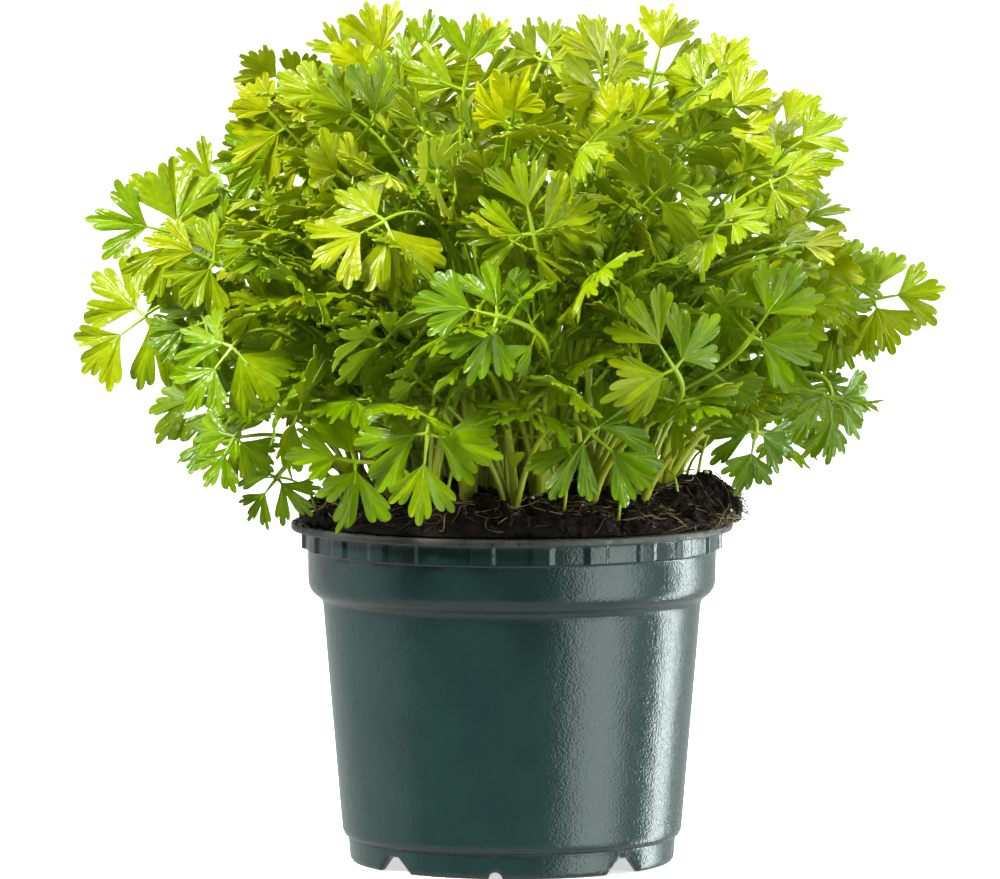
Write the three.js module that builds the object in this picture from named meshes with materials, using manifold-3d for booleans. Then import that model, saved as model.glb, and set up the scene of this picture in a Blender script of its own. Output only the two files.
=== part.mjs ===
// Flat-leaf parsley growing in a 13 cm nursery pot, at life size.
// Millimetres, +Z up. The origin is on the surface that the pot stands on, under the pot's axis, and the front faces -Y.
// The pot is one moulding, the peat is one plug with a plain hole for each plant, and each plant is one solid:
// a crown with its leaf stalks, every stalk carrying one leaf of three lobed leaflets.
import * as THREE from "three";
import { mergeVertices } from "three/addons/utils/BufferGeometryUtils.js";
import Module from "manifold-3d";

// ---- pot: moulded polypropylene ----
const POT_HEIGHT = 100;
const WALL = 1;
const FLANGE_RADIUS = 65;
const FLANGE_THICKNESS = 2.2;
const GRIP_RADIUS = 61.2; // the ribbed grip ring under the flange
const GRIP_LOW_Z = 92.4;
const RIB_COUNT = 23;
const RIB_WIDTH = 6.4;
const RIB_PROUD = 0.9;
const COLLAR_RADIUS = 60;
const COLLAR_LOW_Z = 83;
const BODY_TOP_RADIUS = 55.7;
const BODY_TOP_Z = 76.6;
const BODY_LOW_RADIUS = 50.1;
const BODY_LOW_Z = 11;
const FOOT_RADIUS = 48.2;
const FOOT_TOP_Z = 7.6;
const FOOT_WIDTH = 3;
const BASE_Z = 5; // underside of the base plate
const NOTCH_COUNT = 4; // gaps in the foot ring
const NOTCH_TOP_WIDTH = 4;
const NOTCH_LOW_WIDTH = 13;
const NOTCH_TURN = THREE.MathUtils.degToRad(-46.5); // from +X, so that one foot faces the front
const WEEP_RADIUS = 2; // half-round slot under each foot
const WEEP_TURN = THREE.MathUtils.degToRad(-96);
const DRAIN_RADIUS = 4;
const DRAIN_CIRCLE = 38;
const POT_SEGMENTS = 32;

// ---- peat plug ----
const GAP = 0.35; // between solids that touch
const PEAT_EDGE_RADIUS = 62.6;
const PEAT_EDGE_Z = 102;
const PEAT_EDGE = 0.8; // the least thickness of the peat that lies on the flange
const PEAT_DOME = 9;
const CLOD = { x: 57, y: 2, spread: 11, height: 7.5, overhang: 5 }; // peat heaped over the rim on the right
const PEAT_RINGS = [0.95, 0.84, 0.68, 0.4];
const PEAT_SEGMENTS = 24;

// ---- parsley ----
const PLANT_COUNT = 43;
const CROWN_CIRCLE = 47.5; // the plants stand within this radius
const CROWN_RADIUS = 2.5;
const CROWN_DEPTH = 5;
const CROWN_SHOW = 2.5;
const CROWN_SIDES = 5;
const GOLDEN_TURN = Math.PI * (3 - Math.sqrt(5));
const DOME = { z: 142, wide: 88, deep: 85, up: 88, down: 32, fullness: 0.72 }; // where the leaves join their stalks
const LEAN_MAX = THREE.MathUtils.degToRad(108);
const LEAN_POWER = 0.95;
const STALK_SPREAD = 1.3; // the stalks of one plant start this far from its middle
const STALK_LOW_RADIUS = 1.05;
const STALK_TOP_RADIUS = 0.75;
const STALK_STEPS = 4;
const NECK_RADIUS = 0.65; // a leaflet's own short stalk
const BLADE_THICKNESS = 2;
const NECK_SHARE = 0.34; // of the leaflet's length
const SIDE_NECK_SHARE = 0.15;
const SIDE_ANGLE = THREE.MathUtils.degToRad(78);
const SIDE_SHARE = 0.88;
const SHELLS = [1, 0.8];
const TRIES = 70;
const CLEARANCE = 0.8;
const BALL_STEP = 4; // along a stalk
const LOW_BALLS = 4; // the stalks of one plant may touch within these
const BLADE_BALLS = [
  [0.16, 0, 0.16],
  [0.42, 0, 0.24],
  [0.8, 0, 0.24],
  [0.36, 0.38, 0.2],
  [0.36, -0.38, 0.2],
  [0.64, 0.44, 0.23],
  [0.64, -0.44, 0.23],
]; // [along, side, radius] in shares of a blade's length

// Half the outline of a leaflet, from its wedge base to its tip: [degrees from the midrib, share of the length].
const HALF_OUTLINE = [
  [62, 0.56],
  [47, 0.82],
  [32, 0.9],
  [19, 0.52],
  [12, 0.9],
];

// Leaves that stand out in the canopy: where each joins its stalk, where its middle leaflet points, where its face looks.
const LEADING_LEAVES = [
  { hub: [-97, -25, 186], axis: [-0.97, -0.1, 0.2], face: [0.05, -0.95, 0.25], size: 26 },
  { hub: [-107.5, -8, 161], axis: [-0.75, 0, -0.6], face: [-0.1, -0.9, 0.3], size: 26 },
  { hub: [-80, -58, 155], axis: [-0.6, -0.2, -0.75], face: [-0.3, -0.85, 0.4], size: 23 },
  { hub: [-80, -42, 128], axis: [-0.5, -0.1, -0.85], face: [-0.2, -0.9, 0.3], size: 17 },
  { hub: [-68, -40, 116], axis: [-0.6, 0, -0.8], face: [-0.2, -0.9, 0.3], size: 16 },
  { hub: [-68, 2, 207], axis: [-0.3, 0, 0.95], face: [0, -0.85, 0.5], size: 22 },
  { hub: [-49, -22, 222], axis: [-0.8, 0, 0.5], face: [0, -0.85, 0.5], size: 21 },
  { hub: [-36, 4, 231], axis: [-0.3, 0, 0.95], face: [0, -0.9, 0.4], size: 23 },
  { hub: [-14, -14, 227], axis: [0.15, 0, 1], face: [0.1, -0.9, 0.4], size: 24 },
  { hub: [14, 10, 222], axis: [0.3, 0, 0.95], face: [-0.1, -0.9, 0.3], size: 24 },
  { hub: [27, -22, 228], axis: [-0.1, -0.4, 0.9], face: [0.1, -0.5, 0.85], size: 22 },
  { hub: [42, 24, 231], axis: [0.25, 0, 0.95], face: [0, -0.9, 0.2], size: 22 },
  { hub: [60, -8, 216], axis: [0.6, 0, 0.8], face: [-0.1, -0.75, 0.6], size: 22 },
  { hub: [78, -5, 208], axis: [0.8, 0, 0.5], face: [-0.2, -0.65, 0.7], size: 23 },
  { hub: [105.5, -10, 166], axis: [0.97, 0, 0.15], face: [0, -0.95, 0.25], size: 21 },
  { hub: [93, -22, 138], axis: [0, -0.1, -1], face: [0.45, -0.9, 0.1], size: 20 },
  { hub: [70, -52, 130], axis: [-0.2, -0.1, -1], face: [0.3, -0.9, 0], size: 18 },
  { hub: [-36, -78, 192], axis: [-0.75, -0.3, -0.4], face: [0, -0.75, 0.65], size: 24 },
  { hub: [-4, -99, 166], axis: [-0.95, -0.2, 0.25], face: [0.1, -0.85, 0.5], size: 24 },
  { hub: [-24, -84, 132], axis: [-0.1, -0.15, -1], face: [0, -0.95, 0.25], size: 25 },
  { hub: [46, -82, 150], axis: [-0.5, -0.2, 0.8], face: [0.1, -0.9, 0.4], size: 25 },
  { hub: [22, -78, 132], axis: [0.7, -0.2, -0.6], face: [0, -0.8, 0.6], size: 25 },
  { hub: [6, -80, 188], axis: [-0.2, -0.1, 0.9], face: [0, -0.9, 0.4], size: 24 },
  { hub: [68, -64, 158], axis: [0.5, -0.2, 0.75], face: [0.2, -0.9, 0.3], size: 24 },
];

// ---- solids ----
const wasm = await Module();
wasm.setup();

/** A closed geometry as a solid. */
function solidOf(geometry) {
  const bare = new THREE.BufferGeometry().setAttribute("position", geometry.getAttribute("position").clone());
  if (geometry.index) bare.setIndex(geometry.index.clone());
  const merged = mergeVertices(bare, 1e-4);
  return new wasm.Manifold(
    new wasm.Mesh({
      numProp: 3,
      vertProperties: new Float32Array(merged.attributes.position.array),
      triVerts: new Uint32Array(merged.index.array),
    }),
  );
}

/** A solid as a geometry to draw. */
function geometryOf(solid) {
  const mesh = solid.getMesh();
  const stride = mesh.numProp;
  const positions = new Float32Array(mesh.numVert * 3);
  for (let i = 0; i < mesh.numVert; i++) {
    positions.set(mesh.vertProperties.subarray(i * stride, i * stride + 3), i * 3);
  }
  const geometry = new THREE.BufferGeometry();
  geometry.setAttribute("position", new THREE.BufferAttribute(positions, 3));
  geometry.setIndex(new THREE.BufferAttribute(new Uint32Array(mesh.triVerts), 1));
  geometry.computeVertexNormals();
  return geometry;
}

/** A geometry turned about +Z and moved, as a solid. */
function placed(geometry, turn, x, y, z) {
  geometry.rotateZ(turn);
  geometry.translate(x, y, z);
  return solidOf(geometry);
}

/** A profile of [radius, z] pairs turned about +Z. */
function turned(profile, segments) {
  const points = profile.map(([radius, z]) => new THREE.Vector2(radius, z));
  return new THREE.LatheGeometry(points, segments).rotateX(Math.PI / 2);
}

/** An upright prism: a cylinder of few sides with its axis along +Z. */
function prism(radius, low, high, sides) {
  const geometry = new THREE.CylinderGeometry(radius, radius, high - low, sides).rotateX(Math.PI / 2);
  return geometry.translate(0, 0, (low + high) / 2);
}

// ---- pot ----
/** The moulding's section: out along the underside, up the outside, over the flange, down the inside. */
function potProfile() {
  const inner = WALL;
  const flangeLow = POT_HEIGHT - FLANGE_THICKNESS;
  return [
    [0, BASE_Z],
    [FOOT_RADIUS - FOOT_WIDTH - 0.6, BASE_Z],
    [FOOT_RADIUS - FOOT_WIDTH, 0],
    [FOOT_RADIUS - 1, 0],
    [FOOT_RADIUS, FOOT_TOP_Z],
    [BODY_LOW_RADIUS - 1.2, FOOT_TOP_Z + 0.3],
    [BODY_LOW_RADIUS, BODY_LOW_Z],
    [BODY_TOP_RADIUS, BODY_TOP_Z],
    [COLLAR_RADIUS - 1.6, BODY_TOP_Z + 2.6],
    [COLLAR_RADIUS, COLLAR_LOW_Z],
    [COLLAR_RADIUS, GRIP_LOW_Z - 0.5],
    [GRIP_RADIUS, GRIP_LOW_Z],
    [GRIP_RADIUS, flangeLow],
    [FLANGE_RADIUS, flangeLow],
    [FLANGE_RADIUS, POT_HEIGHT],
    [GRIP_RADIUS - inner, POT_HEIGHT],
    [COLLAR_RADIUS - inner, GRIP_LOW_Z - 1.2],
    [COLLAR_RADIUS - inner, COLLAR_LOW_Z + 0.4],
    [BODY_TOP_RADIUS - inner, BODY_TOP_Z + 0.8],
    [BODY_LOW_RADIUS - inner, BODY_LOW_Z],
    [BODY_LOW_RADIUS - inner - 2.2, BASE_Z + WALL],
    [0, BASE_Z + WALL],
  ];
}

/** The gap between two feet: a trapezium, wide at the floor, cut radially through the foot ring. */
function footNotch(turn) {
  const shape = new THREE.Shape([
    new THREE.Vector2(-NOTCH_LOW_WIDTH / 2, -1),
    new THREE.Vector2(NOTCH_LOW_WIDTH / 2, -1),
    new THREE.Vector2(NOTCH_TOP_WIDTH / 2, BASE_Z - 0.2),
    new THREE.Vector2(-NOTCH_TOP_WIDTH / 2, BASE_Z - 0.2),
  ]);
  const reach = 2 * FOOT_WIDTH + 4;
  const geometry = new THREE.ExtrudeGeometry(shape, { depth: reach, bevelEnabled: false });
  geometry.rotateX(Math.PI / 2).rotateZ(Math.PI / 2);
  const start = FOOT_RADIUS - reach + 2;
  return placed(geometry, turn, start * Math.cos(turn), start * Math.sin(turn), 0);
}

/** A half-round slot under a foot, cut radially. */
function weepSlot(turn) {
  const reach = 2 * FOOT_WIDTH + 4;
  const geometry = new THREE.CylinderGeometry(WEEP_RADIUS, WEEP_RADIUS, reach, 8).rotateZ(Math.PI / 2);
  return placed(geometry, turn, FOOT_RADIUS * Math.cos(turn), FOOT_RADIUS * Math.sin(turn), 0.4);
}

function makePot() {
  let pot = solidOf(turned(potProfile(), POT_SEGMENTS));
  const flangeLow = POT_HEIGHT - FLANGE_THICKNESS;
  const ribDepth = RIB_PROUD + 0.6;
  for (let i = 0; i < RIB_COUNT; i++) {
    const turn = THREE.MathUtils.degToRad(-82.3) + (i * 2 * Math.PI) / RIB_COUNT;
    const middle = GRIP_RADIUS + RIB_PROUD - ribDepth / 2;
    const rib = new THREE.BoxGeometry(ribDepth, RIB_WIDTH, flangeLow - GRIP_LOW_Z + 0.4);
    const z = (flangeLow + GRIP_LOW_Z + 0.4) / 2;
    pot = pot.add(placed(rib, turn, middle * Math.cos(turn), middle * Math.sin(turn), z));
  }
  for (let i = 0; i < NOTCH_COUNT; i++) {
    const step = (i * 2 * Math.PI) / NOTCH_COUNT;
    const turn = NOTCH_TURN + step;
    const drain = prism(DRAIN_RADIUS, BASE_Z - 1, BASE_Z + WALL + 1, 6);
    pot = pot.subtract(footNotch(turn)).subtract(weepSlot(WEEP_TURN + step));
    pot = pot.subtract(placed(drain, 0, DRAIN_CIRCLE * Math.cos(turn), DRAIN_CIRCLE * Math.sin(turn), 0));
  }
  return pot;
}

// ---- peat ----
/** Height of the peat's surface at (x, y): a low dome with lumps, and a clod heaped over the rim on the right. */
function peatTop(x, y) {
  const share = Math.min(1, Math.hypot(x, y) / PEAT_EDGE_RADIUS);
  const lumps = 1.2 * Math.sin(0.21 * x + 1.3) * Math.cos(0.19 * y - 0.4) + 0.7 * Math.sin(0.43 * x + 0.31 * y);
  const heap = Math.exp(-((x - CLOD.x) ** 2 + (y - CLOD.y) ** 2) / (2 * CLOD.spread ** 2));
  return PEAT_EDGE_Z + PEAT_DOME * (1 - share ** 4) + lumps + CLOD.height * heap;
}

/** Radius of the peat's edge at an angle: it lies on the flange, and hangs past it at the clod. */
function peatEdge(angle) {
  const offset = Math.atan2(Math.sin(angle), Math.cos(angle));
  return PEAT_EDGE_RADIUS + 0.6 * Math.sin(5 * angle) + CLOD.overhang * Math.exp(-((offset / 0.38) ** 2));
}

/** The plug: it fills the pot with a gap all round, lies over the flange and rises to the lumpy surface. */
function makePeat(crowns) {
  const flangeTop = POT_HEIGHT + GAP;
  const wall = [
    [0, BASE_Z + WALL + GAP],
    [BODY_LOW_RADIUS - WALL - GAP - 2.4, BASE_Z + WALL + GAP],
    [BODY_LOW_RADIUS - WALL - GAP, BODY_LOW_Z + 0.4],
    [BODY_TOP_RADIUS - WALL - GAP, BODY_TOP_Z + 0.8],
    [COLLAR_RADIUS - WALL - GAP, COLLAR_LOW_Z + 1.4],
    [COLLAR_RADIUS - WALL - GAP, flangeTop],
  ];
  const surface = [1, ...PEAT_RINGS, 0].map((share) => [share * PEAT_EDGE_RADIUS, PEAT_EDGE_Z]);
  const profile = [...wall, [PEAT_EDGE_RADIUS, flangeTop], ...surface];
  const geometry = turned(profile, PEAT_SEGMENTS);
  const points = geometry.getAttribute("position");
  for (let i = 0; i < points.count; i++) {
    const ring = i % profile.length;
    if (ring < wall.length) continue;
    const angle = Math.atan2(points.getY(i), points.getX(i));
    const share = Math.hypot(points.getX(i), points.getY(i)) / PEAT_EDGE_RADIUS;
    const x = share * peatEdge(angle) * Math.cos(angle);
    const y = share * peatEdge(angle) * Math.sin(angle);
    const rounded = ring === wall.length + 1 ? 1 : 0;
    const z = ring === wall.length ? flangeTop : Math.max(flangeTop + PEAT_EDGE, peatTop(x, y) - rounded);
    points.setXYZ(i, x, y, z);
  }
  let peat = solidOf(geometry);
  for (const crown of crowns) {
    const hole = prism(CROWN_RADIUS + GAP, crown.z - CROWN_DEPTH - GAP, crown.z + 6, CROWN_SIDES);
    peat = peat.subtract(placed(hole, 0, crown.x, crown.y, 0));
  }
  return peat;
}

// ---- parsley: where everything goes ----
/** Mulberry32: evenly spread numbers from 0 to 1 that follow from the seed. */
function draws(seed) {
  let state = seed >>> 0;
  return () => {
    state = (state + 0x6d2b79f5) >>> 0;
    let t = Math.imul(state ^ (state >>> 15), state | 1);
    t ^= t + Math.imul(t ^ (t >>> 7), t | 61);
    return ((t ^ (t >>> 14)) >>> 0) / 4294967296;
  };
}

/** The places of the crowns: an even spiral over the peat. */
function crownPlaces() {
  return Array.from({ length: PLANT_COUNT }, (_, i) => {
    const share = Math.sqrt((i + 0.5) / PLANT_COUNT);
    const angle = i * GOLDEN_TURN;
    const x = CROWN_CIRCLE * share * Math.cos(angle);
    const y = CROWN_CIRCLE * share * Math.sin(angle);
    return { x, y, z: peatTop(x, y), share, angle, leaves: [] };
  });
}

/** The crowns in the order that suits a leaf with this hub: the more it leans out, the nearer the rim it grows. */
function crownsFor(hub, free) {
  const out = Math.hypot(hub[0], hub[1]);
  const lean = Math.atan2(out, hub[2] - DOME.z);
  const radius = CROWN_CIRCLE * Math.min(1, lean / LEAN_MAX) ** (1 / LEAN_POWER);
  const off = (crown) => Math.hypot(crown.x - (radius * hub[0]) / out, crown.y - (radius * hub[1]) / out);
  return [...free].sort((one, other) => off(one) - off(other));
}

/** A leaf: its stalk's curve from the crown to the hub, and the leaflets' common frame at the hub. */
function leafAt(crown, hub, axis, face, size) {
  const a = axis.clone().normalize();
  const n = face.clone().addScaledVector(a, -face.dot(a)).normalize();
  const s = new THREE.Vector3().crossVectors(n, a);
  const turn = crown.angle + (crown.leaves.length * 2 * Math.PI) / 3;
  const foot = new THREE.Vector3(STALK_SPREAD * Math.cos(turn), STALK_SPREAD * Math.sin(turn), CROWN_SHOW - 0.6);
  foot.add(new THREE.Vector3(crown.x, crown.y, crown.z));
  const reach = hub.distanceTo(foot);
  const lean = new THREE.Vector3(hub.x - foot.x, hub.y - foot.y, 0).multiplyScalar(0.2);
  const stalk = new THREE.CubicBezierCurve3(
    foot,
    foot.clone().add(lean).add(new THREE.Vector3(0, 0, 0.42 * reach)),
    hub.clone().addScaledVector(a, -0.3 * reach),
    hub.clone(),
  );
  return { hub, a, s, n, size, stalk };
}

/** The directions in which a leaf's three leaflets grow, each with its own side and face. */
function leafletFrames(leaf) {
  const frames = [{ a: leaf.a, s: leaf.s, n: leaf.n, size: leaf.size, neck: NECK_SHARE * leaf.size }];
  for (const hand of [1, -1]) {
    const a = leaf.a
      .clone()
      .multiplyScalar(Math.cos(SIDE_ANGLE))
      .addScaledVector(leaf.s, hand * Math.sin(SIDE_ANGLE))
      .addScaledVector(leaf.n, -0.12)
      .normalize();
    const n = leaf.n.clone().addScaledVector(a, -leaf.n.dot(a)).normalize();
    const size = SIDE_SHARE * leaf.size;
    frames.push({ a, s: new THREE.Vector3().crossVectors(n, a), n, size, neck: SIDE_NECK_SHARE * size });
  }
  return frames;
}

/** Balls that cover a leaf, as { p, r }: close together along its stalk, and over its leaflets and their necks. */
function coverOf(leaf) {
  const steps = Math.ceil(leaf.stalk.getLength() / BALL_STEP);
  const balls = [];
  for (let i = 1; i <= steps; i++) balls.push({ p: leaf.stalk.getPoint(i / steps), r: STALK_LOW_RADIUS });
  for (const { a, s, n, size, neck } of leafletFrames(leaf)) {
    const blade = size - neck;
    balls.push({ p: leaf.hub.clone().addScaledVector(a, 0.5 * neck), r: 0.25 * neck });
    for (const [along, side, radius] of BLADE_BALLS) {
      const p = leaf.hub.clone().addScaledVector(a, neck + along * blade);
      p.addScaledVector(s, side * blade).addScaledVector(n, -0.12 * along * blade);
      balls.push({ p, r: radius * blade });
    }
  }
  return balls;
}

/** True if a leaf's balls stay off the pot and the peat and off every ball that stands already. */
function isClear(balls, crown, standing) {
  return balls.every(({ p, r }, i) => {
    const out = Math.hypot(p.x, p.y);
    const floor = out < FLANGE_RADIUS ? peatTop(p.x, p.y) : POT_HEIGHT;
    if (i > 1 && out < FLANGE_RADIUS + 6 + r && p.z < floor + r + 1) return false;
    return standing.every((other) => {
      if (other.crown === crown && (other.low || i < LOW_BALLS)) return true;
      const room = r + other.r + CLEARANCE;
      return p.distanceToSquared(other.p) >= room * room;
    });
  });
}

/** A leaf drawn by the rule: its hub on a shell of the dome above its crown, leaning out with it. */
function drawnLeaf(crown, depth, seed, wildness) {
  const random = draws(seed);
  const jitter = () => (random() - 0.5) * 2;
  const lean = LEAN_MAX * crown.share ** LEAN_POWER + (0.16 + 0.3 * wildness) * jitter();
  const turn = crown.angle + ((0.2 + 0.5 * wildness) * jitter()) / Math.max(0.25, Math.sin(Math.abs(lean)));
  const shell = depth * (1 + 0.05 * jitter());
  const out = new THREE.Vector3(Math.cos(turn), Math.sin(turn), 0);
  const full = (share) => Math.sign(share) * Math.abs(share) ** DOME.fullness;
  const spread = shell * full(Math.sin(lean));
  const rise = shell * full(Math.cos(lean)) * (lean < Math.PI / 2 ? DOME.up : DOME.down);
  const hub = new THREE.Vector3(spread * out.x * DOME.wide, spread * out.y * DOME.deep, DOME.z + rise);
  const droop = 0.15 + 0.75 * Math.sin(lean) * random();
  const axis = hub.clone().sub(new THREE.Vector3(crown.x, crown.y, crown.z)).normalize();
  axis.addScaledVector(out, 0.5).add(new THREE.Vector3(0.35 * jitter(), 0.35 * jitter(), -droop));
  const face = new THREE.Vector3(0.5 * jitter(), 0.5 * jitter(), 0.6 + 0.3 * jitter()).addScaledVector(out, 0.9);
  return leafAt(crown, hub, axis, face, 18 + 6 * depth * random());
}

/** Every plant with its leaves: first the leading leaves, then shell by shell inwards whatever stands clear. */
function growPlants() {
  const crowns = crownPlaces();
  const free = [...crowns];
  const standing = [];
  const grow = (crown, leaf) => {
    crown.leaves.push(leaf);
    coverOf(leaf).forEach(({ p, r }, i) => standing.push({ p, r, crown, low: i < LOW_BALLS }));
  };
  for (const { hub, axis, face, size } of LEADING_LEAVES) {
    for (const crown of crownsFor(hub, free)) {
      const vectors = [hub, axis, face].map((v) => new THREE.Vector3(...v));
      const leaf = leafAt(crown, ...vectors, size);
      if (!isClear(coverOf(leaf), crown, standing)) continue;
      grow(crown, leaf);
      free.splice(free.indexOf(crown), 1);
      break;
    }
  }
  SHELLS.forEach((depth, shell) => {
    crowns.forEach((crown, index) => {
      for (let attempt = 0; attempt < TRIES; attempt++) {
        const leaf = drawnLeaf(crown, depth, 1000 * (index + 1) + 100000 * shell + attempt, attempt / TRIES);
        if (!isClear(coverOf(leaf), crown, standing)) continue;
        grow(crown, leaf);
        break;
      }
    });
  });
  return crowns.filter((crown) => crown.leaves.length);
}

// ---- parsley: solids ----
/** The outline of a blade as [along, side] points in shares of its length, from the right of its base to the left. */
function bladeOutline() {
  const at = (degrees, reach, hand) => {
    const turn = THREE.MathUtils.degToRad(degrees);
    return [reach * Math.cos(turn), hand * reach * Math.sin(turn)];
  };
  const right = HALF_OUTLINE.map(([degrees, reach]) => at(degrees, reach, -1));
  const left = HALF_OUTLINE.map(([degrees, reach]) => at(degrees, reach, 1)).reverse();
  return [...right, [1, 0], ...left];
}

/**
 * A leaf as one closed solid: a three-sided stalk, a four-cornered hub, and from the hub three necks with blades.
 * Every cross-section is [left, right, keel]. A blade is thickest under its midrib and thins to its edge; it droops
 * towards its tip and its sides hang a little. Its two faces are divided into the same triangles.
 */
function makeLeaf(leaf, seed) {
  const random = draws(seed);
  const vertices = [];
  const faces = [];
  const put = (v) => vertices.push(v.x, v.y, v.z) / 3 - 1;
  const section = (point, side, face, radius) => [
    put(point.clone().addScaledVector(side, radius)),
    put(point.clone().addScaledVector(side, -radius)),
    put(point.clone().addScaledVector(face, -1.5 * radius)),
  ];
  const bridge = (below, above) => {
    for (const [p, q] of [[0, 1], [1, 2], [2, 0]]) {
      faces.push([below[p], below[q], above[q]], [below[p], above[q], above[p]]);
    }
  };

  const corner = (along, side) => {
    const p = leaf.hub.clone().addScaledVector(leaf.a, along * STALK_TOP_RADIUS);
    return put(p.addScaledVector(leaf.s, side * STALK_TOP_RADIUS));
  };
  const keel = put(leaf.hub.clone().addScaledVector(leaf.n, -1.5 * STALK_TOP_RADIUS));
  const stalkLeft = corner(-1, 1);
  const stalkRight = corner(-1, -1);
  const farRight = corner(1, -1);
  const farLeft = corner(1, 1);
  faces.push([stalkLeft, stalkRight, farRight], [stalkLeft, farRight, farLeft]);

  const side = leaf.s.clone();
  let above = [stalkLeft, stalkRight, keel];
  for (let i = STALK_STEPS - 1; i >= 0; i--) {
    const share = i / STALK_STEPS;
    const along = leaf.stalk.getTangent(share);
    side.addScaledVector(along, -side.dot(along)).normalize();
    const radius = THREE.MathUtils.lerp(STALK_LOW_RADIUS, STALK_TOP_RADIUS, share);
    const here = section(leaf.stalk.getPoint(share), side, new THREE.Vector3().crossVectors(along, side), radius);
    bridge(here, above);
    above = here;
  }
  faces.push([above[0], above[2], above[1]]);

  const roots = [
    [farLeft, farRight, keel],
    [stalkLeft, farLeft, keel],
    [farRight, stalkRight, keel],
  ];
  leafletFrames(leaf).forEach((frame, i) => {
    const blade = frame.size - frame.neck;
    const base = leaf.hub.clone().addScaledVector(frame.a, frame.neck);
    const neckEnd = section(base, frame.s, frame.n, NECK_RADIUS);
    bridge(roots[i], neckEnd);
    const droop = 0.06 + 0.16 * random();
    const hang = 0.22 * random() - 0.05;
    const onBlade = (along, side, lift) => {
      const drop = blade * (droop * along * along + hang * Math.abs(side));
      const p = base.clone().addScaledVector(frame.a, along * blade);
      return put(p.addScaledVector(frame.s, side * blade).addScaledVector(frame.n, lift - drop));
    };
    const [left, right, under] = neckEnd;
    const rim = [right, ...bladeOutline().map(([along, side]) => onBlade(along, side, 0)), left];
    const top = onBlade(0.3, 0, 0.3 * BLADE_THICKNESS);
    const bottom = onBlade(0.3, 0, -0.7 * BLADE_THICKNESS);
    for (let j = 1; j < rim.length; j++) {
      faces.push([top, rim[j - 1], rim[j]], [bottom, rim[j], rim[j - 1]]);
    }
    faces.push([top, left, right], [bottom, right, under], [bottom, under, left]);
  });

  const geometry = new THREE.BufferGeometry();
  geometry.setAttribute("position", new THREE.BufferAttribute(new Float32Array(vertices), 3));
  geometry.setIndex(faces.flat());
  return solidOf(geometry);
}

/** A plant: its crown, which stands in the peat, and its leaves. */
function makePlant(crown, index) {
  const low = crown.z - CROWN_DEPTH;
  let plant = placed(prism(CROWN_RADIUS, low, crown.z + CROWN_SHOW, CROWN_SIDES), 0, crown.x, crown.y, 0);
  crown.leaves.forEach((leaf, i) => {
    plant = plant.add(makeLeaf(leaf, 7000 + 10 * index + i));
  });
  return plant;
}

// ---- the potted plant ----
const plastic = new THREE.MeshStandardMaterial({ color: 0x1f4a42, roughness: 0.38, metalness: 0 });
const peatMaterial = new THREE.MeshStandardMaterial({ color: 0x2a1c14, roughness: 0.95, metalness: 0 });
const green = new THREE.MeshStandardMaterial({ color: 0x7fae12, roughness: 0.5, metalness: 0 });

const pottedParsley = new THREE.Group();

function addNode(name, solid, material) {
  const mesh = new THREE.Mesh(geometryOf(solid), material);
  mesh.name = name;
  pottedParsley.add(mesh);
}

const plants = growPlants();
addNode("pot", makePot(), plastic);
addNode("peat", makePeat(plants), peatMaterial);
plants.forEach((crown, i) => {
  addNode(`parsley_${String(i + 1).padStart(2, "0")}`, makePlant(crown, i), green);
});

export default pottedParsley;
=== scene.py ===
# Flat-leaf parsley in a 13 cm nursery pot, dressed over its solids. Metres, +Z up, the front faces -Y.
# Lengths in the sections below are in millimetres, but for those of the lights, and MM turns them to metres.
import math

import bmesh
import bpy
import numpy as np
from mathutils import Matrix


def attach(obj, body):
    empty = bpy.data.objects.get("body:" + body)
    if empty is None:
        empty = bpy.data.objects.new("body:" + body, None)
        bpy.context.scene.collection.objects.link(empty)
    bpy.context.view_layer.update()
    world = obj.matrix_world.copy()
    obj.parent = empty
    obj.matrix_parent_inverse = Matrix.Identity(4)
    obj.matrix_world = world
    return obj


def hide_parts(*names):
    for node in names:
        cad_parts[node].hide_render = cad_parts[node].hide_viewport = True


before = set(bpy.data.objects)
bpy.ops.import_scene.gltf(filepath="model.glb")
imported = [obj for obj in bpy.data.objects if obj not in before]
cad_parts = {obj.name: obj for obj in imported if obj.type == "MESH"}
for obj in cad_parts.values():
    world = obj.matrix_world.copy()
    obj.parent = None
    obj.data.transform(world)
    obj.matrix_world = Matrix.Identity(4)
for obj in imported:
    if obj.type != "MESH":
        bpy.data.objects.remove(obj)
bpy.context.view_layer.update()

MM = 0.001

# ---- Camera ----
# A long lens about two metres in front of the pot and a little higher than the top of the plant, tipped slightly down,
# so that it looks over the rim on to the peat. Its length goes with a sensor 36 mm wide.
CAMERA_PLACE_MM = (-3.5, -2100, 279)
CAMERA_DOWN_DEG = 4.22
CAMERA_LENS_MM = 257.8
CAMERA_SENSOR_MM = 36

camera = bpy.data.objects.new("camera", bpy.data.cameras.new("camera"))
camera.location = [value * MM for value in CAMERA_PLACE_MM]
camera.rotation_euler = (math.radians(90 - CAMERA_DOWN_DEG), 0, 0)
camera.data.lens = CAMERA_LENS_MM
camera.data.sensor_width = CAMERA_SENSOR_MM
camera.data.clip_end = 60
bpy.context.collection.objects.link(camera)
bpy.context.scene.camera = camera
bpy.context.scene.view_settings.view_transform = "Standard"

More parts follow.
